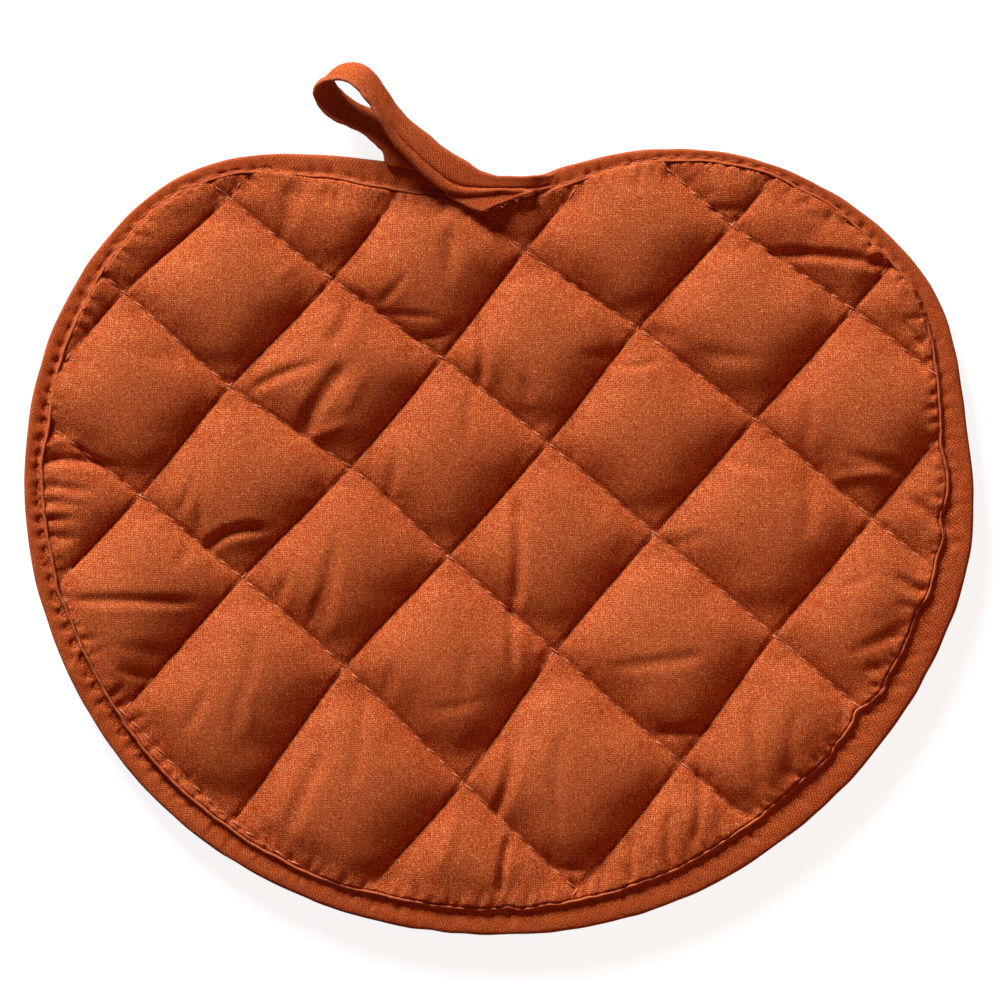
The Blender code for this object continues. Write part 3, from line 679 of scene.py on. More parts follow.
def crossing_point(falling, rising):
    """A crossing from the table, or the even pitch led on from the nearest ones."""
    drift = Vector((0.0, 0.0))
    total = 0.0
    for row in CROSSINGS:
        distance = math.hypot(row.falling - falling, row.rising - rising)
        offset = Vector((row.x, row.y)) * MM - even_crossing(row.falling, row.rising)
        if distance == 0:
            return even_crossing(falling, rising) + offset
        drift += offset / distance ** 4
        total += 1.0 / distance ** 4
    return even_crossing(falling, rising) + drift / total


ALL_CROSSINGS = {
    (falling, rising): crossing_point(falling, rising)
    for falling in range(-1, SEAMS_EACH_WAY + 3)
    for rising in range(-1, SEAMS_EACH_WAY + 3)
}


def seam_point(falling, rising):
    """A point in plan from its place among the seams, on smooth curves."""
    column = int(math.floor(falling))
    row = int(math.floor(rising))
    along = [
        cubic_blend(*(ALL_CROSSINGS[column + a, row + b] for b in (-1, 0, 1, 2)),
                    rising - row)
        for a in (-1, 0, 1, 2)
    ]
    return cubic_blend(*along, falling - column)


def pillow(falling, rising):
    """0 on a quilting seam and 1 at the middle of a diamond."""
    across = math.sin(math.pi * (falling % 1.0)) * math.sin(math.pi * (rising % 1.0))
    return max(across, 0.0) ** PUFF_SHAPE


def edge_fullness(inside):
    """How full the padding is at a distance inside the tape."""
    short = 1.0 - clamp01(inside / EDGE_ROUNDING)
    return (1.0 - short ** 2) ** EDGE_SHAPE


def underside_height(falling, rising, inside):
    """Each diamond is flat on the surface, and the seams and the rim are raised."""
    settled = FLAT_SPREAD * pillow(falling, rising) ** FLAT_SHAPE * edge_fullness(inside)
    return CHANNEL_LIFT * (1.0 - min(1.0, settled))


# --- The padded face ------------------------------------------------------------------


def on_seam(falling, rising):
    """Whether a point of the grid lies on a quilting seam."""
    step = 0.25 / FACE_CUTS
    return (min(falling % 1.0, 1.0 - falling % 1.0) < step
            or min(rising % 1.0, 1.0 - rising % 1.0) < step)


def cut_face():
    """The face cut flat: a fine grid laid along the seams and trimmed to the rim."""
    last = SEAMS_EACH_WAY * FACE_CUTS
    bm = bmesh.new()
    falling_layer = bm.verts.layers.float.new("falling")
    rising_layer = bm.verts.layers.float.new("rising")
    inside_layer = bm.verts.layers.float.new("inside")
    bm.verts.layers.float.new("top")
    bm.verts.layers.float.new("wear_and_highlight")
    bmesh.ops.create_grid(bm, x_segments=last, y_segments=last, size=1.0)
    for vert in bm.verts:
        falling = round((vert.co.x + 1.0) / 2.0 * last) / FACE_CUTS
        rising = round((vert.co.y + 1.0) / 2.0 * last) / FACE_CUTS
        point = seam_point(falling, rising)
        vert[falling_layer] = falling
        vert[rising_layer] = rising
        vert[inside_layer] = welt_distance(point)
        vert.co = (point.x, point.y, 0.0)
    outside = []
    for face in bm.faces:
        for vert in face.verts:
            trim = edge_value(bearing_of(vert.co.xy), "trim")
            if vert[inside_layer] < RIM_SETBACK - trim:
                outside.append(face)
                break
    bmesh.ops.delete(bm, geom=outside, context="FACES")
    for vert in bm.verts:
        if vert.is_boundary:
            rim = edge_point(bearing_of(vert.co.xy), RIM_SETBACK)
            vert.co = (rim.x, rim.y, 0.0)
            vert[inside_layer] = min(RIM_SETBACK - edge_value(bearing_of(rim), "trim"),
                                     PIN_WIDTH - 0.1 * MM)
    return bm


def puff_up(bm):
    """The face held down along its seams and lifted by the padding, as cloth."""
    falling_layer = bm.verts.layers.float["falling"]
    rising_layer = bm.verts.layers.float["rising"]
    inside_layer = bm.verts.layers.float["inside"]
    held = []
    growth = []
    for index, vert in enumerate(bm.verts):
        full = pillow(vert[falling_layer], vert[rising_layer])
        spot = vert.co * 150.0
        growth.append(clamp01(full + CLOTH_GROWTH_NOISE * noise.noise((spot.x, spot.y, 0.3))))
        if on_seam(vert[falling_layer], vert[rising_layer]) or vert[inside_layer] < PIN_WIDTH:
            held.append(index)
        else:
            vert.co.z = CLOTH_START * full
    mesh = bpy.data.meshes.new("face_cloth")
    bm.to_mesh(mesh)
    bm.free()
    cloth_object = bpy.data.objects.new("face_cloth", mesh)
    scene = bpy.context.scene
    scene.collection.objects.link(cloth_object)
    cloth_object.vertex_groups.new(name="held").add(held, 1.0, "REPLACE")
    spare = cloth_object.vertex_groups.new(name="spare")
    for index, weight in enumerate(growth):
        spare.add([index], weight, "REPLACE")

    modifier = cloth_object.modifiers.new("padding", "CLOTH")
    settings = modifier.settings
    for name, value in CLOTH_SETTINGS.items():
        setattr(settings, name, value)
    settings.vertex_group_mass = "held"
    settings.vertex_group_shrink = "spare"
    settings.shrink_min = -CLOTH_GROWTH[0]
    settings.shrink_max = -CLOTH_GROWTH[1]
    modifier.collision_settings.use_collision = False
    modifier.point_cache.frame_start = 1
    modifier.point_cache.frame_end = CLOTH_FRAMES
    scene_gravity = scene.gravity.copy()
    scene.gravity = (0.0, 0.0, CLOTH_LIFT)
    for step in range(1, CLOTH_FRAMES + 1):
        scene.frame_set(step)
    shaped = bpy.data.meshes.new_from_object(
        cloth_object.evaluated_get(bpy.context.evaluated_depsgraph_get()))
    scene.gravity = scene_gravity
    scene.frame_set(1)
    bpy.data.objects.remove(cloth_object, do_unlink=True)
    bm = bmesh.new()
    bm.from_mesh(shaped)
    bpy.data.meshes.remove(shaped)
    return bm


def free_verts(bm, verts):
    """Those that are neither on a seam nor under the tape."""
    falling_layer = bm.verts.layers.float["falling"]
    rising_layer = bm.verts.layers.float["rising"]
    inside_layer = bm.verts.layers.float["inside"]
    return [
        vert for vert in verts
        if vert[inside_layer] > PIN_WIDTH
        and not on_seam(vert[falling_layer], vert[rising_layer])
    ]


def plan_tree(verts):
    """A search tree of where these lie in plan."""
    tree = KDTree(len(verts))
    for index, vert in enumerate(verts):
        tree.insert((vert.co.x, vert.co.y, 0.0), index)
    tree.balance()
    return tree


def soften(bm, verts, times):
    """Let sharp spots relax, as cloth over padding does."""
    for _ in range(times):
        bmesh.ops.smooth_vert(bm, verts=verts, factor=0.5, use_axis_x=True,
                              use_axis_y=True, use_axis_z=True)


def press_fold(tree, verts, path, width, depth, hold=0.35):
    """Sink a soft trough along a path, with cloth rising a little on both its sides."""
    lengths = [(b - a).length for a, b in zip(path, path[1:])]
    total = sum(lengths)
    reach = 2.6 * width
    touched = {}
    gone = 0.0
    for a, b, length in zip(path, path[1:], lengths):
        middle = (a + b) / 2
        for _, index, _ in tree.find_range((middle.x, middle.y, 0.0), length / 2 + reach):
            point = verts[index].co.xy
            along = clamp01((point - a).dot(b - a) / length ** 2)
            away = (point - a.lerp(b, along)).length
            if index not in touched or away < touched[index][0]:
                touched[index] = (away, (gone + along * length) / total)
        gone += length
    for index, (away, share) in touched.items():
        strength = smooth_step(-0.12, 0.14, share) * (1.0 - smooth_step(hold, 1.05, share))
        across = (away / (width * (0.55 + 0.45 * strength))) ** 2
        if across < 9.0:
            verts[index].co.z -= depth * strength * (1.0 - 0.75 * across) * math.exp(-across)


def fold_path(fold):
    """A fold's centre line, on a smooth curve through its three points."""
    a, b, c = (photo_point(*spot) for spot in (fold.start, fold.bend, fold.end))
    steps = 8
    path = []
    for step in range(steps + 1):
        t = step / steps
        control = 2 * b - (a + c) / 2
        path.append((1 - t) ** 2 * a + 2 * t * (1 - t) * control + t * t * c)
    return path


def shape_face(bm, upper):
    """Seam dimples, tucks and folds, pressed into the upper face."""
    dice = random.Random(7)
    verts = list(upper)
    tree = plan_tree(verts)
    for fold in FOLDS:
        press_fold(tree, verts, fold_path(fold), fold.width * MM,
                   FOLD_PRESS * fold.depth * MM, fold.hold)
    # Small tucks where the tape's seam gathers the face.
    bearing = 0.0
    while bearing < 360.0:
        start = edge_point(bearing, edge_value(bearing, "trim") + 0.2 * MM)
        inward = (MIDDLE - start).normalized()
        slant = Matrix.Rotation(math.radians(dice.uniform(-25.0, 25.0)), 2)
        end = start + (slant @ inward) * dice.uniform(2.0, 7.0) * MM
        press_fold(tree, verts, [start, end], dice.uniform(0.7, 1.2) * MM,
                   dice.uniform(0.25, 0.75) * MM)
        bearing += dice.uniform(1.3, 3.2)
    # And where the quilting seams do, from their needle holes.
    for seam_set in ("falling", "rising"):
        for seam in range(SEAMS_EACH_WAY + 1):
            for point, heading in seam_stations(seam_set, seam, STITCH_PITCH, 0.0):
                half = heading * HOLE_SIZE
                press_fold(tree, verts, [point - half, point + half],
                           HOLE_SIZE, HOLE_DEPTH * dice.uniform(0.6, 1.4), 1.2)
                if dice.random() < 0.4:
                    side = dice.choice((-1.0, 1.0))
                    out = Vector((-heading.y, heading.x)) * side
                    slant = Matrix.Rotation(math.radians(dice.uniform(-40.0, 40.0)), 2)
                    end = point + (slant @ out) * dice.uniform(2.5, 6.0) * MM
                    press_fold(tree, verts, [point, end], dice.uniform(0.9, 1.5) * MM,
                               dice.uniform(0.12, 0.32) * MM)


def seam_stations(seam_set, seam, pitch, first):
    """Points along one quilting seam and its heading there, inside the tape."""
    fine = 40 * SEAMS_EACH_WAY
    line = []
    for step in range(fine + 1):
        other = SEAMS_EACH_WAY * step / fine
        place = (float(seam), other) if seam_set == "falling" else (other, float(seam))
        point = seam_point(*place)
        if welt_distance(point) > 0.2 * MM:
            line.append(point)
    stations = []
    gone = 0.0
    due = first
    for a, b in zip(line, line[1:]):
        length = (b - a).length
        while length > 0 and gone + length >= due:
            stations.append((a.lerp(b, (due - gone) / length), (b - a).normalized()))
            due += pitch
        gone += length
    return stations


def under_tape(point, inside):
    """1 where the tape covers the face, which goes down under the tape's inner fold."""
    if inside > 3.0 * MM:
        return 0.0
    inside -= welt_wander(bearing_of(point))
    return 1.0 - smooth_step(RIM_STEP_OUT, RIM_STEP_IN, inside)


def quilted_pad(finish):
    """Face, padding and back as one closed piece, sewn through in diamonds."""
    bm = puff_up(cut_face())
    falling_layer = bm.verts.layers.float["falling"]
    rising_layer = bm.verts.layers.float["rising"]
    inside_layer = bm.verts.layers.float["inside"]
    top_layer = bm.verts.layers.float["top"]
    crest_wear_highlight_layer = bm.verts.layers.float["wear_and_highlight"]
    soften(bm, free_verts(bm, bm.verts), CLOTH_SOFTENING)
    thick = bmesh.ops.extrude_face_region(bm, geom=bm.faces[:])
    upper = {item for item in thick["geom"] if isinstance(item, bmesh.types.BMVert)}
    for vert in upper:
        vert[top_layer] = 1.0
    for vert in bm.verts:
        falling = vert[falling_layer]
        rising = vert[rising_layer]
        inside = vert[inside_layer]
        if vert[top_layer] > 0.5:
            beat = PUFF_BEATS[0] * math.floor(falling) + PUFF_BEATS[1] * math.floor(rising)
            uneven = 1.0 + PUFF_UNEVEN * math.sin(beat)
            rise = max(vert.co.z, 0.0) / CLOTH_PUFF
            top = CHANNEL_TOP + (PUFF_TOP - CHANNEL_TOP) * uneven * rise ** CLOTH_FULLNESS
            crowd = EDGE_CROWD * (1.0 - 0.7 * left_side(bearing_of(vert.co.xy)))
            top += crowd * (1.0 - smooth_step(0.0, EDGE_CROWD_WIDTH, inside))
            vert.co.z = top
        else:
            bottom = underside_height(falling, rising, inside)
            vert.co.z = bottom + (RIM_BOTTOM - bottom) * under_tape(vert.co.xy, inside)
    upper_edges = [
        edge for edge in bm.edges if all(vert[top_layer] > 0.5 for vert in edge.verts)]
    bmesh.ops.subdivide_edges(bm, edges=upper_edges, cuts=1, use_grid_fill=True)
    edge_edges = [
        edge for edge in bm.edges
        if all(vert[top_layer] > 0.5 and EDGE_DETAIL[0] < vert[inside_layer] < EDGE_DETAIL[1]
               for vert in edge.verts)]
    bmesh.ops.subdivide_edges(bm, edges=edge_edges, cuts=1, use_grid_fill=True)
    upper = [vert for vert in bm.verts if vert[top_layer] > 0.5]
    soften(bm, free_verts(bm, upper), 2)
    shape_face(bm, upper)
    soften(bm, free_verts(bm, upper), 1)
    for vert in upper:
        if vert[inside_layer] > 0.0 and on_seam(vert[falling_layer], vert[rising_layer]):
            vert.co.z -= SEAM_CREASE * smooth_step(
                0.0, SEAM_CREASE_FADE, vert[inside_layer])
        sunk = under_tape(vert.co.xy, vert[inside_layer])
        vert.co.z += (RIM_TOP - vert.co.z) * sunk
    bmesh.ops.recalc_face_normals(bm, faces=bm.faces[:])
    # The higher on a puff, the paler it is drawn: partly wear on the crests, partly painted
    # highlight.
    for vert in bm.verts:
        vert[crest_wear_highlight_layer] = CREST_WEAR_AND_HIGHLIGHT * clamp01(
            (vert.co.z - CHANNEL_TOP) / (PUFF_TOP - CHANNEL_TOP))
    surface = BVHTree.FromBMesh(bm)
    pad = finished(bm, "quilted_cushion", finish)
    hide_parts("quilted_pad")
    return surface


def finished(bm, name, *finishes):
    """The object for a mesh, riding on the part's one body."""
    mesh = bpy.data.meshes.new(name)
    bm.to_mesh(mesh)
    bm.free()
    mesh.shade_smooth()
    for finish in finishes:
        mesh.materials.append(finish)
    piece = bpy.data.objects.new(name, mesh)
    bpy.context.scene.collection.objects.link(piece)
    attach(piece, "root")
    return piece


# --- Tape -----------------------------------------------------------------------------


def tape_point(row, trim):
    """Setback and height of a point of the tape's section where this much of it shows."""
    shrink = min(1.0, trim / TAPE_NARROW)
    further = -row.inset if row.share > 0.6 else row.inset
    return row.share * trim + further * shrink * MM, row.height * MM


def chance_round(bearing, beats, lift):
    """Smooth chance round the edge that meets itself."""
    angle = math.radians(bearing)
    return noise.noise(Vector((math.cos(angle) * beats, math.sin(angle) * beats, lift)))


def welt_wander(bearing):
    """How far inwards the tape's inner fold strays from its smooth line."""
    right = 1.0 + 0.5 * max(0.0, math.cos(math.radians(bearing + 25.0)))
    stray = WELT_WANDER * right * (
        chance_round(bearing, 11.0, 0.2) + 0.7 * chance_round(bearing, 27.0, 4.1))
    for kink, centre in zip(KINKS, KINK_BEARINGS):
        away = ((bearing - centre + 180.0) % 360.0 - 180.0) / kink.spread
        stray += kink.inwards * MM * math.exp(-away * away)
    return stray


KINK_BEARINGS = [bearing_of(photo_point(*kink.spot)) for kink in KINKS]


def edge_stations(inset):
    """Bearing and length gone round the tape, this far outside its inner fold."""
    stations = []
    gone = 0.0
    last = None
    for step in range(EDGE_STEPS + 1):
        bearing = TAPE_JOIN_BEARING + step * 360.0 / EDGE_STEPS
        point = edge_point(bearing, edge_value(bearing, "trim") - inset)
        if last is not None:
            gone += (point - last).length
        last = point
        stations.append((bearing, gone))
    return stations


def edge_stitch_bearings():
    """Where the needle went in along the tape's groove."""
    dice = random.Random(5)
    bearings = []
    due = EDGE_STITCH_PITCH
    for bearing, gone in edge_stations(GROOVE_INSET):
        if gone >= due:
            bearings.append(bearing)
            due += EDGE_STITCH_PITCH * dice.uniform(0.85, 1.15)
    return bearings


def stitch_pull(bearing, needles):
    """1 where a stitch pulls the tape in and 0 midway between two."""
    turned = (bearing - TAPE_JOIN_BEARING) % 360.0 + TAPE_JOIN_BEARING
    index = min(max(bisect.bisect(needles, turned), 1), len(needles) - 1)
    before, after = needles[index - 1], needles[index]
    share = clamp01((turned - before) / (after - before))
    pull = (0.5 + 0.5 * math.cos(2 * math.pi * share)) ** 1.6
    return pull * clamp01(0.55 + 1.3 * chance_round(bearing, 12.0, 8.3) + left_side(bearing))


def stretch_of_edge(bearing, start, full, fading, end):
    """1 between two bearings, fading to 0 on both sides."""
    return smooth_step(start, full, bearing % 360.0) - smooth_step(fading, end, bearing % 360.0)


def left_side(bearing):
    """1 where the tape was sewn on tighter, as it was on the left."""
    return stretch_of_edge(bearing, 150.0, 172.0, 205.0, 225.0)


def top_side(bearing):
    """1 along the top, where the inner fold lies lower than the face."""
    return stretch_of_edge(bearing, 28.0, 44.0, 142.0, 165.0)


def pucker_tape(bm, place_layer, needles):
    """Uneven tucks across the band, running out from its stitches."""
    dice = random.Random(29)
    verts = [vert for vert in bm.verts if TAPE_WELT < vert[place_layer] < TAPE_TOP]
    tree = plan_tree(verts)
    bearing = 0.0
    while bearing < 360.0:
        trim = edge_value(bearing, "trim")
        left = left_side(bearing)
        start = edge_point(bearing, trim - TUCK_INSET)
        slant = Matrix.Rotation(math.radians(dice.uniform(-45.0, 45.0)), 2)
        outward = slant @ (start - MIDDLE).normalized()
        end = start + outward * max(1.2 * MM, (trim - TUCK_INSET) * dice.uniform(0.4, 0.85))
        press_fold(tree, verts, [start, end], dice.uniform(0.5, 1.2) * MM,
                   dice.uniform(0.06, 0.26) * (1.0 + 0.8 * left) * MM)
        bearing += dice.uniform(1.2, 4.0)
    # On the left, and less along the top, every stitch draws a soft dimple out of the band.
    for bearing in needles:
        tight = max(left_side(bearing), 0.5 * top_side(bearing))
        if tight > 0.1:
            trim = edge_value(bearing, "trim")
            start = edge_point(bearing, trim - 0.8 * MM)
            slant = Matrix.Rotation(math.radians(dice.uniform(5.0, 55.0)), 2)
            outward = slant @ (start - MIDDLE).normalized()
            end = start + outward * dice.uniform(0.3, 0.6) * trim
            press_fold(tree, verts, [start, end], dice.uniform(0.9, 1.4) * MM,
                       dice.uniform(0.15, 0.7) * tight * MM, 0.3)


def bound_edge(finish):
    """Bias tape folded over the rim, all the way round."""
    rows = TAPE_SECTION
    bm = bmesh.new()
    place_layer = bm.verts.layers.int.new("place")
    wear_highlight_layer = bm.verts.layers.float.new("wear_and_highlight")
    turn_layer = bm.verts.layers.float.new("turn")
    uv_layer = bm.loops.layers.uv.new("tape")
    unit = 100.0 * MM
    section = []
    for index, row in enumerate(rows):
        setback, height = tape_point(row, TAPE_USUAL)
        vert = bm.verts.new((unit - setback, 0.0, height))
        vert[place_layer] = index
        section.append(vert)
    edges = [bm.edges.new((a, b)) for a, b in zip(section, section[1:] + section[:1])]
    bmesh.ops.spin(bm, geom=section + edges, cent=(0, 0, 0), axis=(0, 0, 1),
                   angle=2 * math.pi, steps=TAPE_STATIONS // 2, use_merge=True)
    around = [edge for edge in bm.edges
              if edge.verts[0][place_layer] == edge.verts[1][place_layer]]
    bmesh.ops.subdivide_edges(bm, edges=around, cuts=1)
    needles = edge_stitch_bearings()
    by_turn = {}
    for vert in bm.verts:
        turn = (math.degrees(math.atan2(vert.co.y, vert.co.x)) + 0.001) % 360.0
        vert[turn_layer] = turn
        by_turn.setdefault(round(turn * TAPE_STATIONS / 360.0) % TAPE_STATIONS, []).append(vert)
    for station, verts in by_turn.items():
        turn = station * 360.0 / TAPE_STATIONS
        bearing = TAPE_JOIN_BEARING + turn
        angle = math.radians(bearing)
        outward = Vector((math.cos(angle), math.sin(angle)))
        reach = edge_value(bearing, "reach")
        stretch = radial_stretch(bearing)
        trim = edge_value(bearing, "trim")
        wander = welt_wander(bearing)
        drawn = stitch_pull(bearing, needles)
        pull = (STITCH_PULL * drawn - TOP_FILL * top_side(bearing)
                + LEFT_TROUGH * left_side(bearing) * (0.45 + 0.4 * drawn))
        stray = [EDGE_STRAY * chance_round(bearing, 17.0, 2.0 + 0.5 * step) for step in (0, 1)]
        for vert in verts:
            place = vert[place_layer]
            row = rows[place]
            setback, height = tape_point(row, trim)
            setback += wander * row.share
            height -= pull * row.pull
            if 1 < place < TAPE_WELT:
                height += WELT_WRINKLE * chance_round(bearing, 58.0, 1.1)
                height += WELT_RISE[0] * top_side(bearing) + WELT_RISE[1] * left_side(bearing)
            if TAPE_WELT <= place < TAPE_NOSE:
                height += BAND_WRINKLE * smooth_step(0.0, 0.3, row.share) * chance_round(
                    bearing + row.share, 41.0, 2.2 * row.share)
            if TAPE_TOP - 3 <= place <= TAPE_NOSE:
                setback += stray[place >= TAPE_TOP]
            # One end of the tape laps over the other.
            lap = (turn + TAPE_JOIN_SLANT * (row.share - 0.5) + 180.0) % 360.0 - 180.0
            if place < TAPE_NOSE and -1.0 < lap < 6.0:
                height += LAP_RISE * smooth_step(-0.35, 0.0, lap) * (
                    1.0 - smooth_step(0.3, 5.0, lap)) * (
                    0.4 + 0.6 * smooth_step(0.0, 0.2, row.share))
            point = MIDDLE + (reach - setback * stretch) * outward
            vert.co = (point.x, point.y, height)
            vert[wear_highlight_layer] = row.rub
    pucker_tape(bm, place_layer, needles)
    across = [0.0]
    for a, b in zip(rows, rows[1:]):
        start = tape_point(a, TAPE_USUAL)
        end = tape_point(b, TAPE_USUAL)
        across.append(across[-1] + math.dist(start, end))
    for face in bm.faces:
        turns = [vert[turn_layer] for vert in face.verts]
        places = [vert[place_layer] for vert in face.verts]
        for loop in face.loops:
            turn = loop.vert[turn_layer]
            if max(turns) - turn > 180.0:
                turn += 360.0
            place = loop.vert[place_layer]
            v = across[place] if max(places) - place < len(rows) / 2 else across[-1] + MM
            loop[uv_layer].uv = (math.radians(turn) * TAPE_MEAN_REACH, v)
    bmesh.ops.recalc_face_normals(bm, faces=bm.faces[:])
    surface = BVHTree.FromBMesh(bm)
    binding = finished(bm, "bias_binding", finish)
    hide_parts("edge_binding")
    return binding, surface


def loop_stations():
    """The rows of the loop's table with smooth steps between them."""
    last = len(LOOP_ROWS) - 1
    stations = []
    for index in range(last):
        near = [LOOP_ROWS[min(max(index + step, 0), last)] for step in (-1, 0, 1, 2)]
        for substep in range(LOOP_SUBSTEPS):
            t = substep / LOOP_SUBSTEPS
            stations.append(Tape(*(cubic_blend(*column, t) for column in zip(*near))))
    stations.append(LOOP_ROWS[last])
    return stations


def loop_frames():
    """Centre, width way and thin way of the tape at each station of the loop."""
    stations = loop_stations()
    centres = [Vector((row.x, row.y, row.z)) * MM for row in stations]
    frames = []
    for index, row in enumerate(stations):
        ahead = centres[min(index + 1, len(centres) - 1)]
        behind = centres[max(index - 1, 0)]
        along = (ahead - behind).normalized()
        across = math.radians(row.across)
        tilt = math.radians(row.tilt)
        width_way = Vector((
            math.cos(tilt) * math.cos(across),
            math.cos(tilt) * math.sin(across),
            math.sin(tilt),
        ))
        thin_way = along.cross(width_way).normalized()
        frames.append((centres[index], width_way, thin_way, row.width * MM))
    return frames


def hanging_loop(finish):
    """The tape's free end, turned back on itself as a loop to hang by."""
    bm = bmesh.new()
    place_layer = bm.verts.layers.int.new("place")
    station_layer = bm.verts.layers.int.new("station")
    wear_highlight_layer = bm.verts.layers.float.new("wear_and_highlight")
    uv_layer = bm.loops.layers.uv.new("tape")
    frames = loop_frames()
    count = len(LOOP_SECTION)

    def put(verts, station):
        centre, width_way, thin_way, width = frames[station]
        last = station == len(frames) - 1
        along = width_way.cross(thin_way)
        for vert in verts:
            across, thick = LOOP_SECTION[vert[place_layer]]
            # The stitches draw in the rolled edge, and the raw end is cut unevenly.
            spot = (0.19 * station, math.copysign(2.0, across), 0.5)
            drawn = LOOP_PUCKER * noise.noise(spot) * abs(across) ** 3
            fray = RAW_EDGE * noise.noise((2.7 * across, 9.1, 0.3)) if last else 0.0
            vert.co = (centre + width_way * (across * width / 2 + drawn)
                       + thin_way * thick * LOOP_THICKNESS / 2 + along * fray)
            vert[station_layer] = station

    first = bmesh.ops.create_circle(bm, segments=count, radius=1.0)["verts"]
    for index, vert in enumerate(first):
        vert[place_layer] = index
    put(first, 0)
    first_edges = list({edge for vert in first for edge in vert.link_edges})
    ring = first_edges
    for station in range(1, len(frames)):
        grown = bmesh.ops.extrude_edge_only(bm, edges=ring)["geom"]
        ring = [item for item in grown if isinstance(item, bmesh.types.BMEdge)]
        put([item for item in grown if isinstance(item, bmesh.types.BMVert)], station)
    bmesh.ops.contextual_create(bm, geom=first_edges)
    bmesh.ops.contextual_create(bm, geom=ring)
    along = [0.0]
    for a, b in zip(frames, frames[1:]):
        along.append(along[-1] + (b[0] - a[0]).length)
    # The loop's edges are drawn paler: partly wear, partly painted highlight.
    for vert in bm.verts:
        vert[wear_highlight_layer] = abs(LOOP_SECTION[vert[place_layer]][0]) ** 8
    for face in bm.faces:
        for loop in face.loops:
            across = LOOP_SECTION[loop.vert[place_layer]][0]
            loop[uv_layer].uv = (along[loop.vert[station_layer]], across * LOOP_HALF_WIDTH)
    bmesh.ops.recalc_face_normals(bm, faces=bm.faces[:])
    loop = finished(bm, "loop_tape", finish)
    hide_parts("hanging_loop")
    return loop


# --- Stitches -------------------------------------------------------------------------


def add_stitch(bm, place, along, up, length, radius=THREAD_RADIUS):
    """One stitch: a short length of thread that dips into its two holes."""
    made = bmesh.ops.create_uvsphere(bm, u_segments=6, v_segments=6, radius=1.0)["verts"]
    side = up.cross(along).normalized()
    over = along.cross(side).normalized()
    for vert in made:
        x, y, z = vert.co
        bow = STITCH_BOW * z * z
        vert.co = (place + along * z * length / 2 + side * x * radius
                   + over * (y * radius - bow + 0.5 * radius))


def sew(name, stitches, finish):
    """Many stitches as one piece, sewn in short runs that are then gathered."""
    whole = bmesh.new()
    for first in range(0, len(stitches), RUN_OF_STITCHES):
        run = bmesh.new()
        for stitch in stitches[first:first + RUN_OF_STITCHES]:
            add_stitch(run, *stitch)
        mesh = bpy.data.meshes.new("run_of_stitches")
        run.to_mesh(mesh)
        run.free()
        whole.from_mesh(mesh)
        bpy.data.meshes.remove(mesh)
    finished(whole, name, finish)


def both_sides(surface, point):
    """Where a needle here comes through the face and the back, and its way in."""
    sides = []
    for height, way in ((1.0, -UP), (-1.0, UP)):
        hit, _, _, _ = surface.ray_cast(Vector((point.x, point.y, height)), way)
        if hit is not None:
            sides.append((hit, way))
    return sides


def quilting_stitches(surface, finish):
    """Both sides of the lockstitch that holds face, padding and back together."""
    dice = random.Random(11)
    for seam_set in ("falling", "rising"):
        stitches = []
        for seam in range(SEAMS_EACH_WAY + 1):
            for point, heading in seam_stations(seam_set, seam, STITCH_PITCH,
                                                STITCH_PITCH / 2):
                for hit, way in both_sides(surface, point):
                    turn = Matrix.Rotation(math.radians(dice.gauss(7.0, 4.0)), 2)
                    slanted = turn @ heading
                    along = Vector((slanted.x, slanted.y, dice.gauss(0.0, 0.04))).normalized()
                    stitches.append((hit - way * STITCH_LIFT[seam_set], along, -way,
                                     STITCH_LENGTH * dice.uniform(0.8, 1.05)))
        sew(seam_set + "_stitches", stitches, finish)


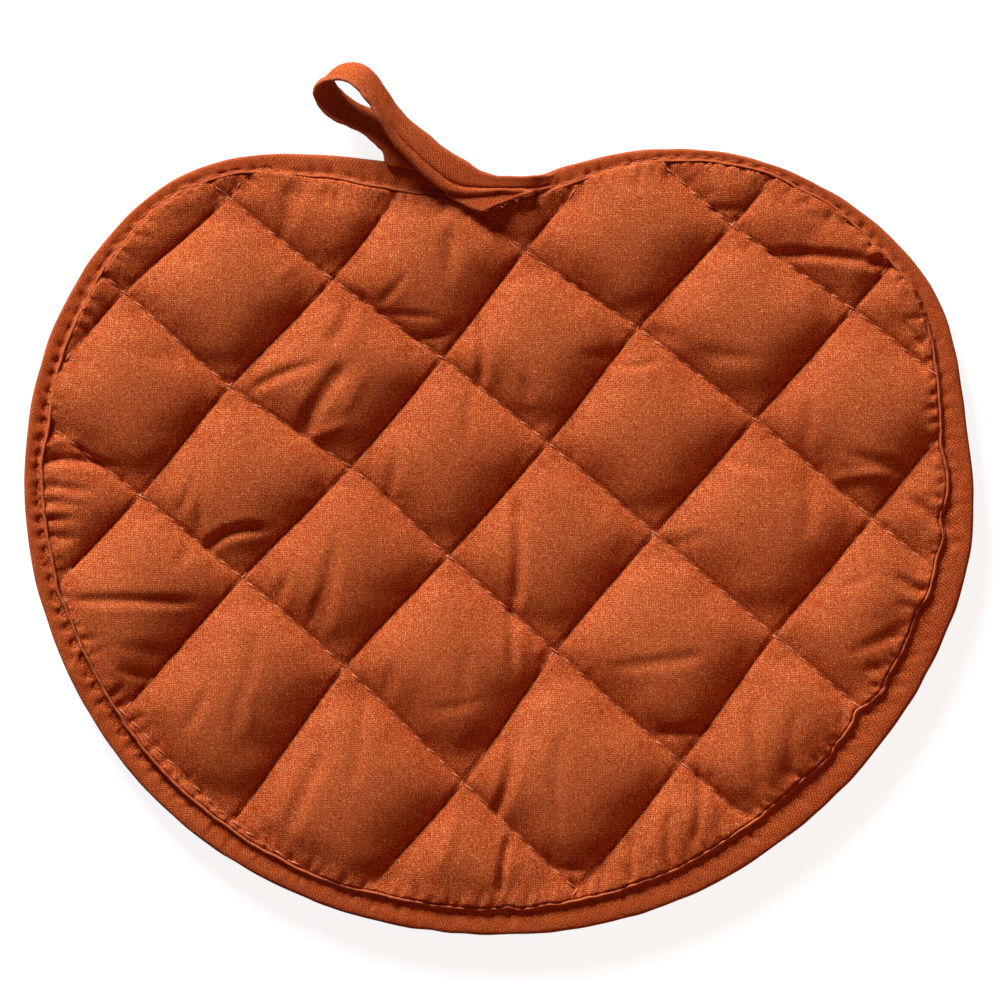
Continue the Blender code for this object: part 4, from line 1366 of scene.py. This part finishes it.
def loop_stitches(finish):
    """The row of stitches along the roll of the loop, on the side that faces up."""
    dice = random.Random(17)
    stitches = []
    frames = loop_frames()
    due = 0.0
    gone = 0.0
    for before, here in zip(frames, frames[1:]):
        gone += (here[0] - before[0]).length
        if gone >= due:
            centre, width_way, thin_way, width = here
            place = (centre + width_way * LOOP_STITCH_SHARE * width / 2
                     + thin_way * 0.02 * LOOP_THICKNESS)
            along = (here[0] - before[0]).normalized()
            stitches.append((place, along, thin_way,
                             EDGE_STITCH_PITCH * dice.uniform(0.7, 0.85)))
            due += EDGE_STITCH_PITCH
    # Yarns hang out of the raw end.
    centre, width_way, thin_way, width = frames[-1]
    outward = (centre - frames[-2][0]).normalized()
    for _ in range(RAW_THREADS):
        length = dice.uniform(0.6, 1.6) * MM
        turn = Matrix.Rotation(math.radians(dice.uniform(-55.0, 55.0)), 3, thin_way)
        along = turn @ outward
        place = (centre + width_way * dice.uniform(-0.48, 0.48) * width
                 + along * length * 0.25 + thin_way * dice.uniform(-0.4, 0.2) * LOOP_THICKNESS)
        stitches.append((place, along, thin_way, length, RAW_THREAD_RADIUS))
    sew("loop_stitches", stitches, finish)


def edge_stitches(surface, finish):
    """The topstitching that holds the tape, seen in its groove and on the underside."""
    dice = random.Random(13)
    stitches = []
    needles = edge_stitch_bearings()
    for before, after in zip(needles, needles[1:]):
        ends = []
        for bearing in (before, after):
            setback = edge_value(bearing, "trim") - GROOVE_INSET + welt_wander(bearing)
            ends.append(edge_point(bearing, setback))
        middle = (ends[0] + ends[1]) / 2
        heading = (ends[1] - ends[0]).to_3d()
        length = heading.length * dice.uniform(0.78, 0.9)
        for hit, way in both_sides(surface, middle):
            stitches.append((hit + way * EDGE_STITCH_SINK, heading.normalized(), -way, length))
    sew("edge_stitches", stitches, finish)


set_camera()
set_stage(pale_floor())
set_light()
# Each cotton: darkest yarns with painted shade between them, the body, yarn tops with painted
# highlight, and worn places with painted highlight.
pad_cotton = plain_weave("plain-woven cotton, dyed burnt orange", False, FACE_WEAVE,
                         "#701604", "#BC4108", "#FFBA74", "#EC9C60")
tape_cotton = plain_weave("plain-woven cotton tape, cut on the bias", True, TAPE_WEAVE,
                          "#6E1604", "#B44008", "#FFB06A", "#E4946C")
quilting_thread = spun_thread("spun orange quilting thread", "#C06038", "#FCB084")
tape_thread = spun_thread("spun rust sewing thread", "#8C3A16", "#C86C3C")
face_surface = quilted_pad(pad_cotton)
binding, binding_surface = bound_edge(tape_cotton)
loop = hanging_loop(tape_cotton)
quilting_stitches(face_surface, quilting_thread)
edge_stitches(binding_surface, tape_thread)
loop_stitches(tape_thread)
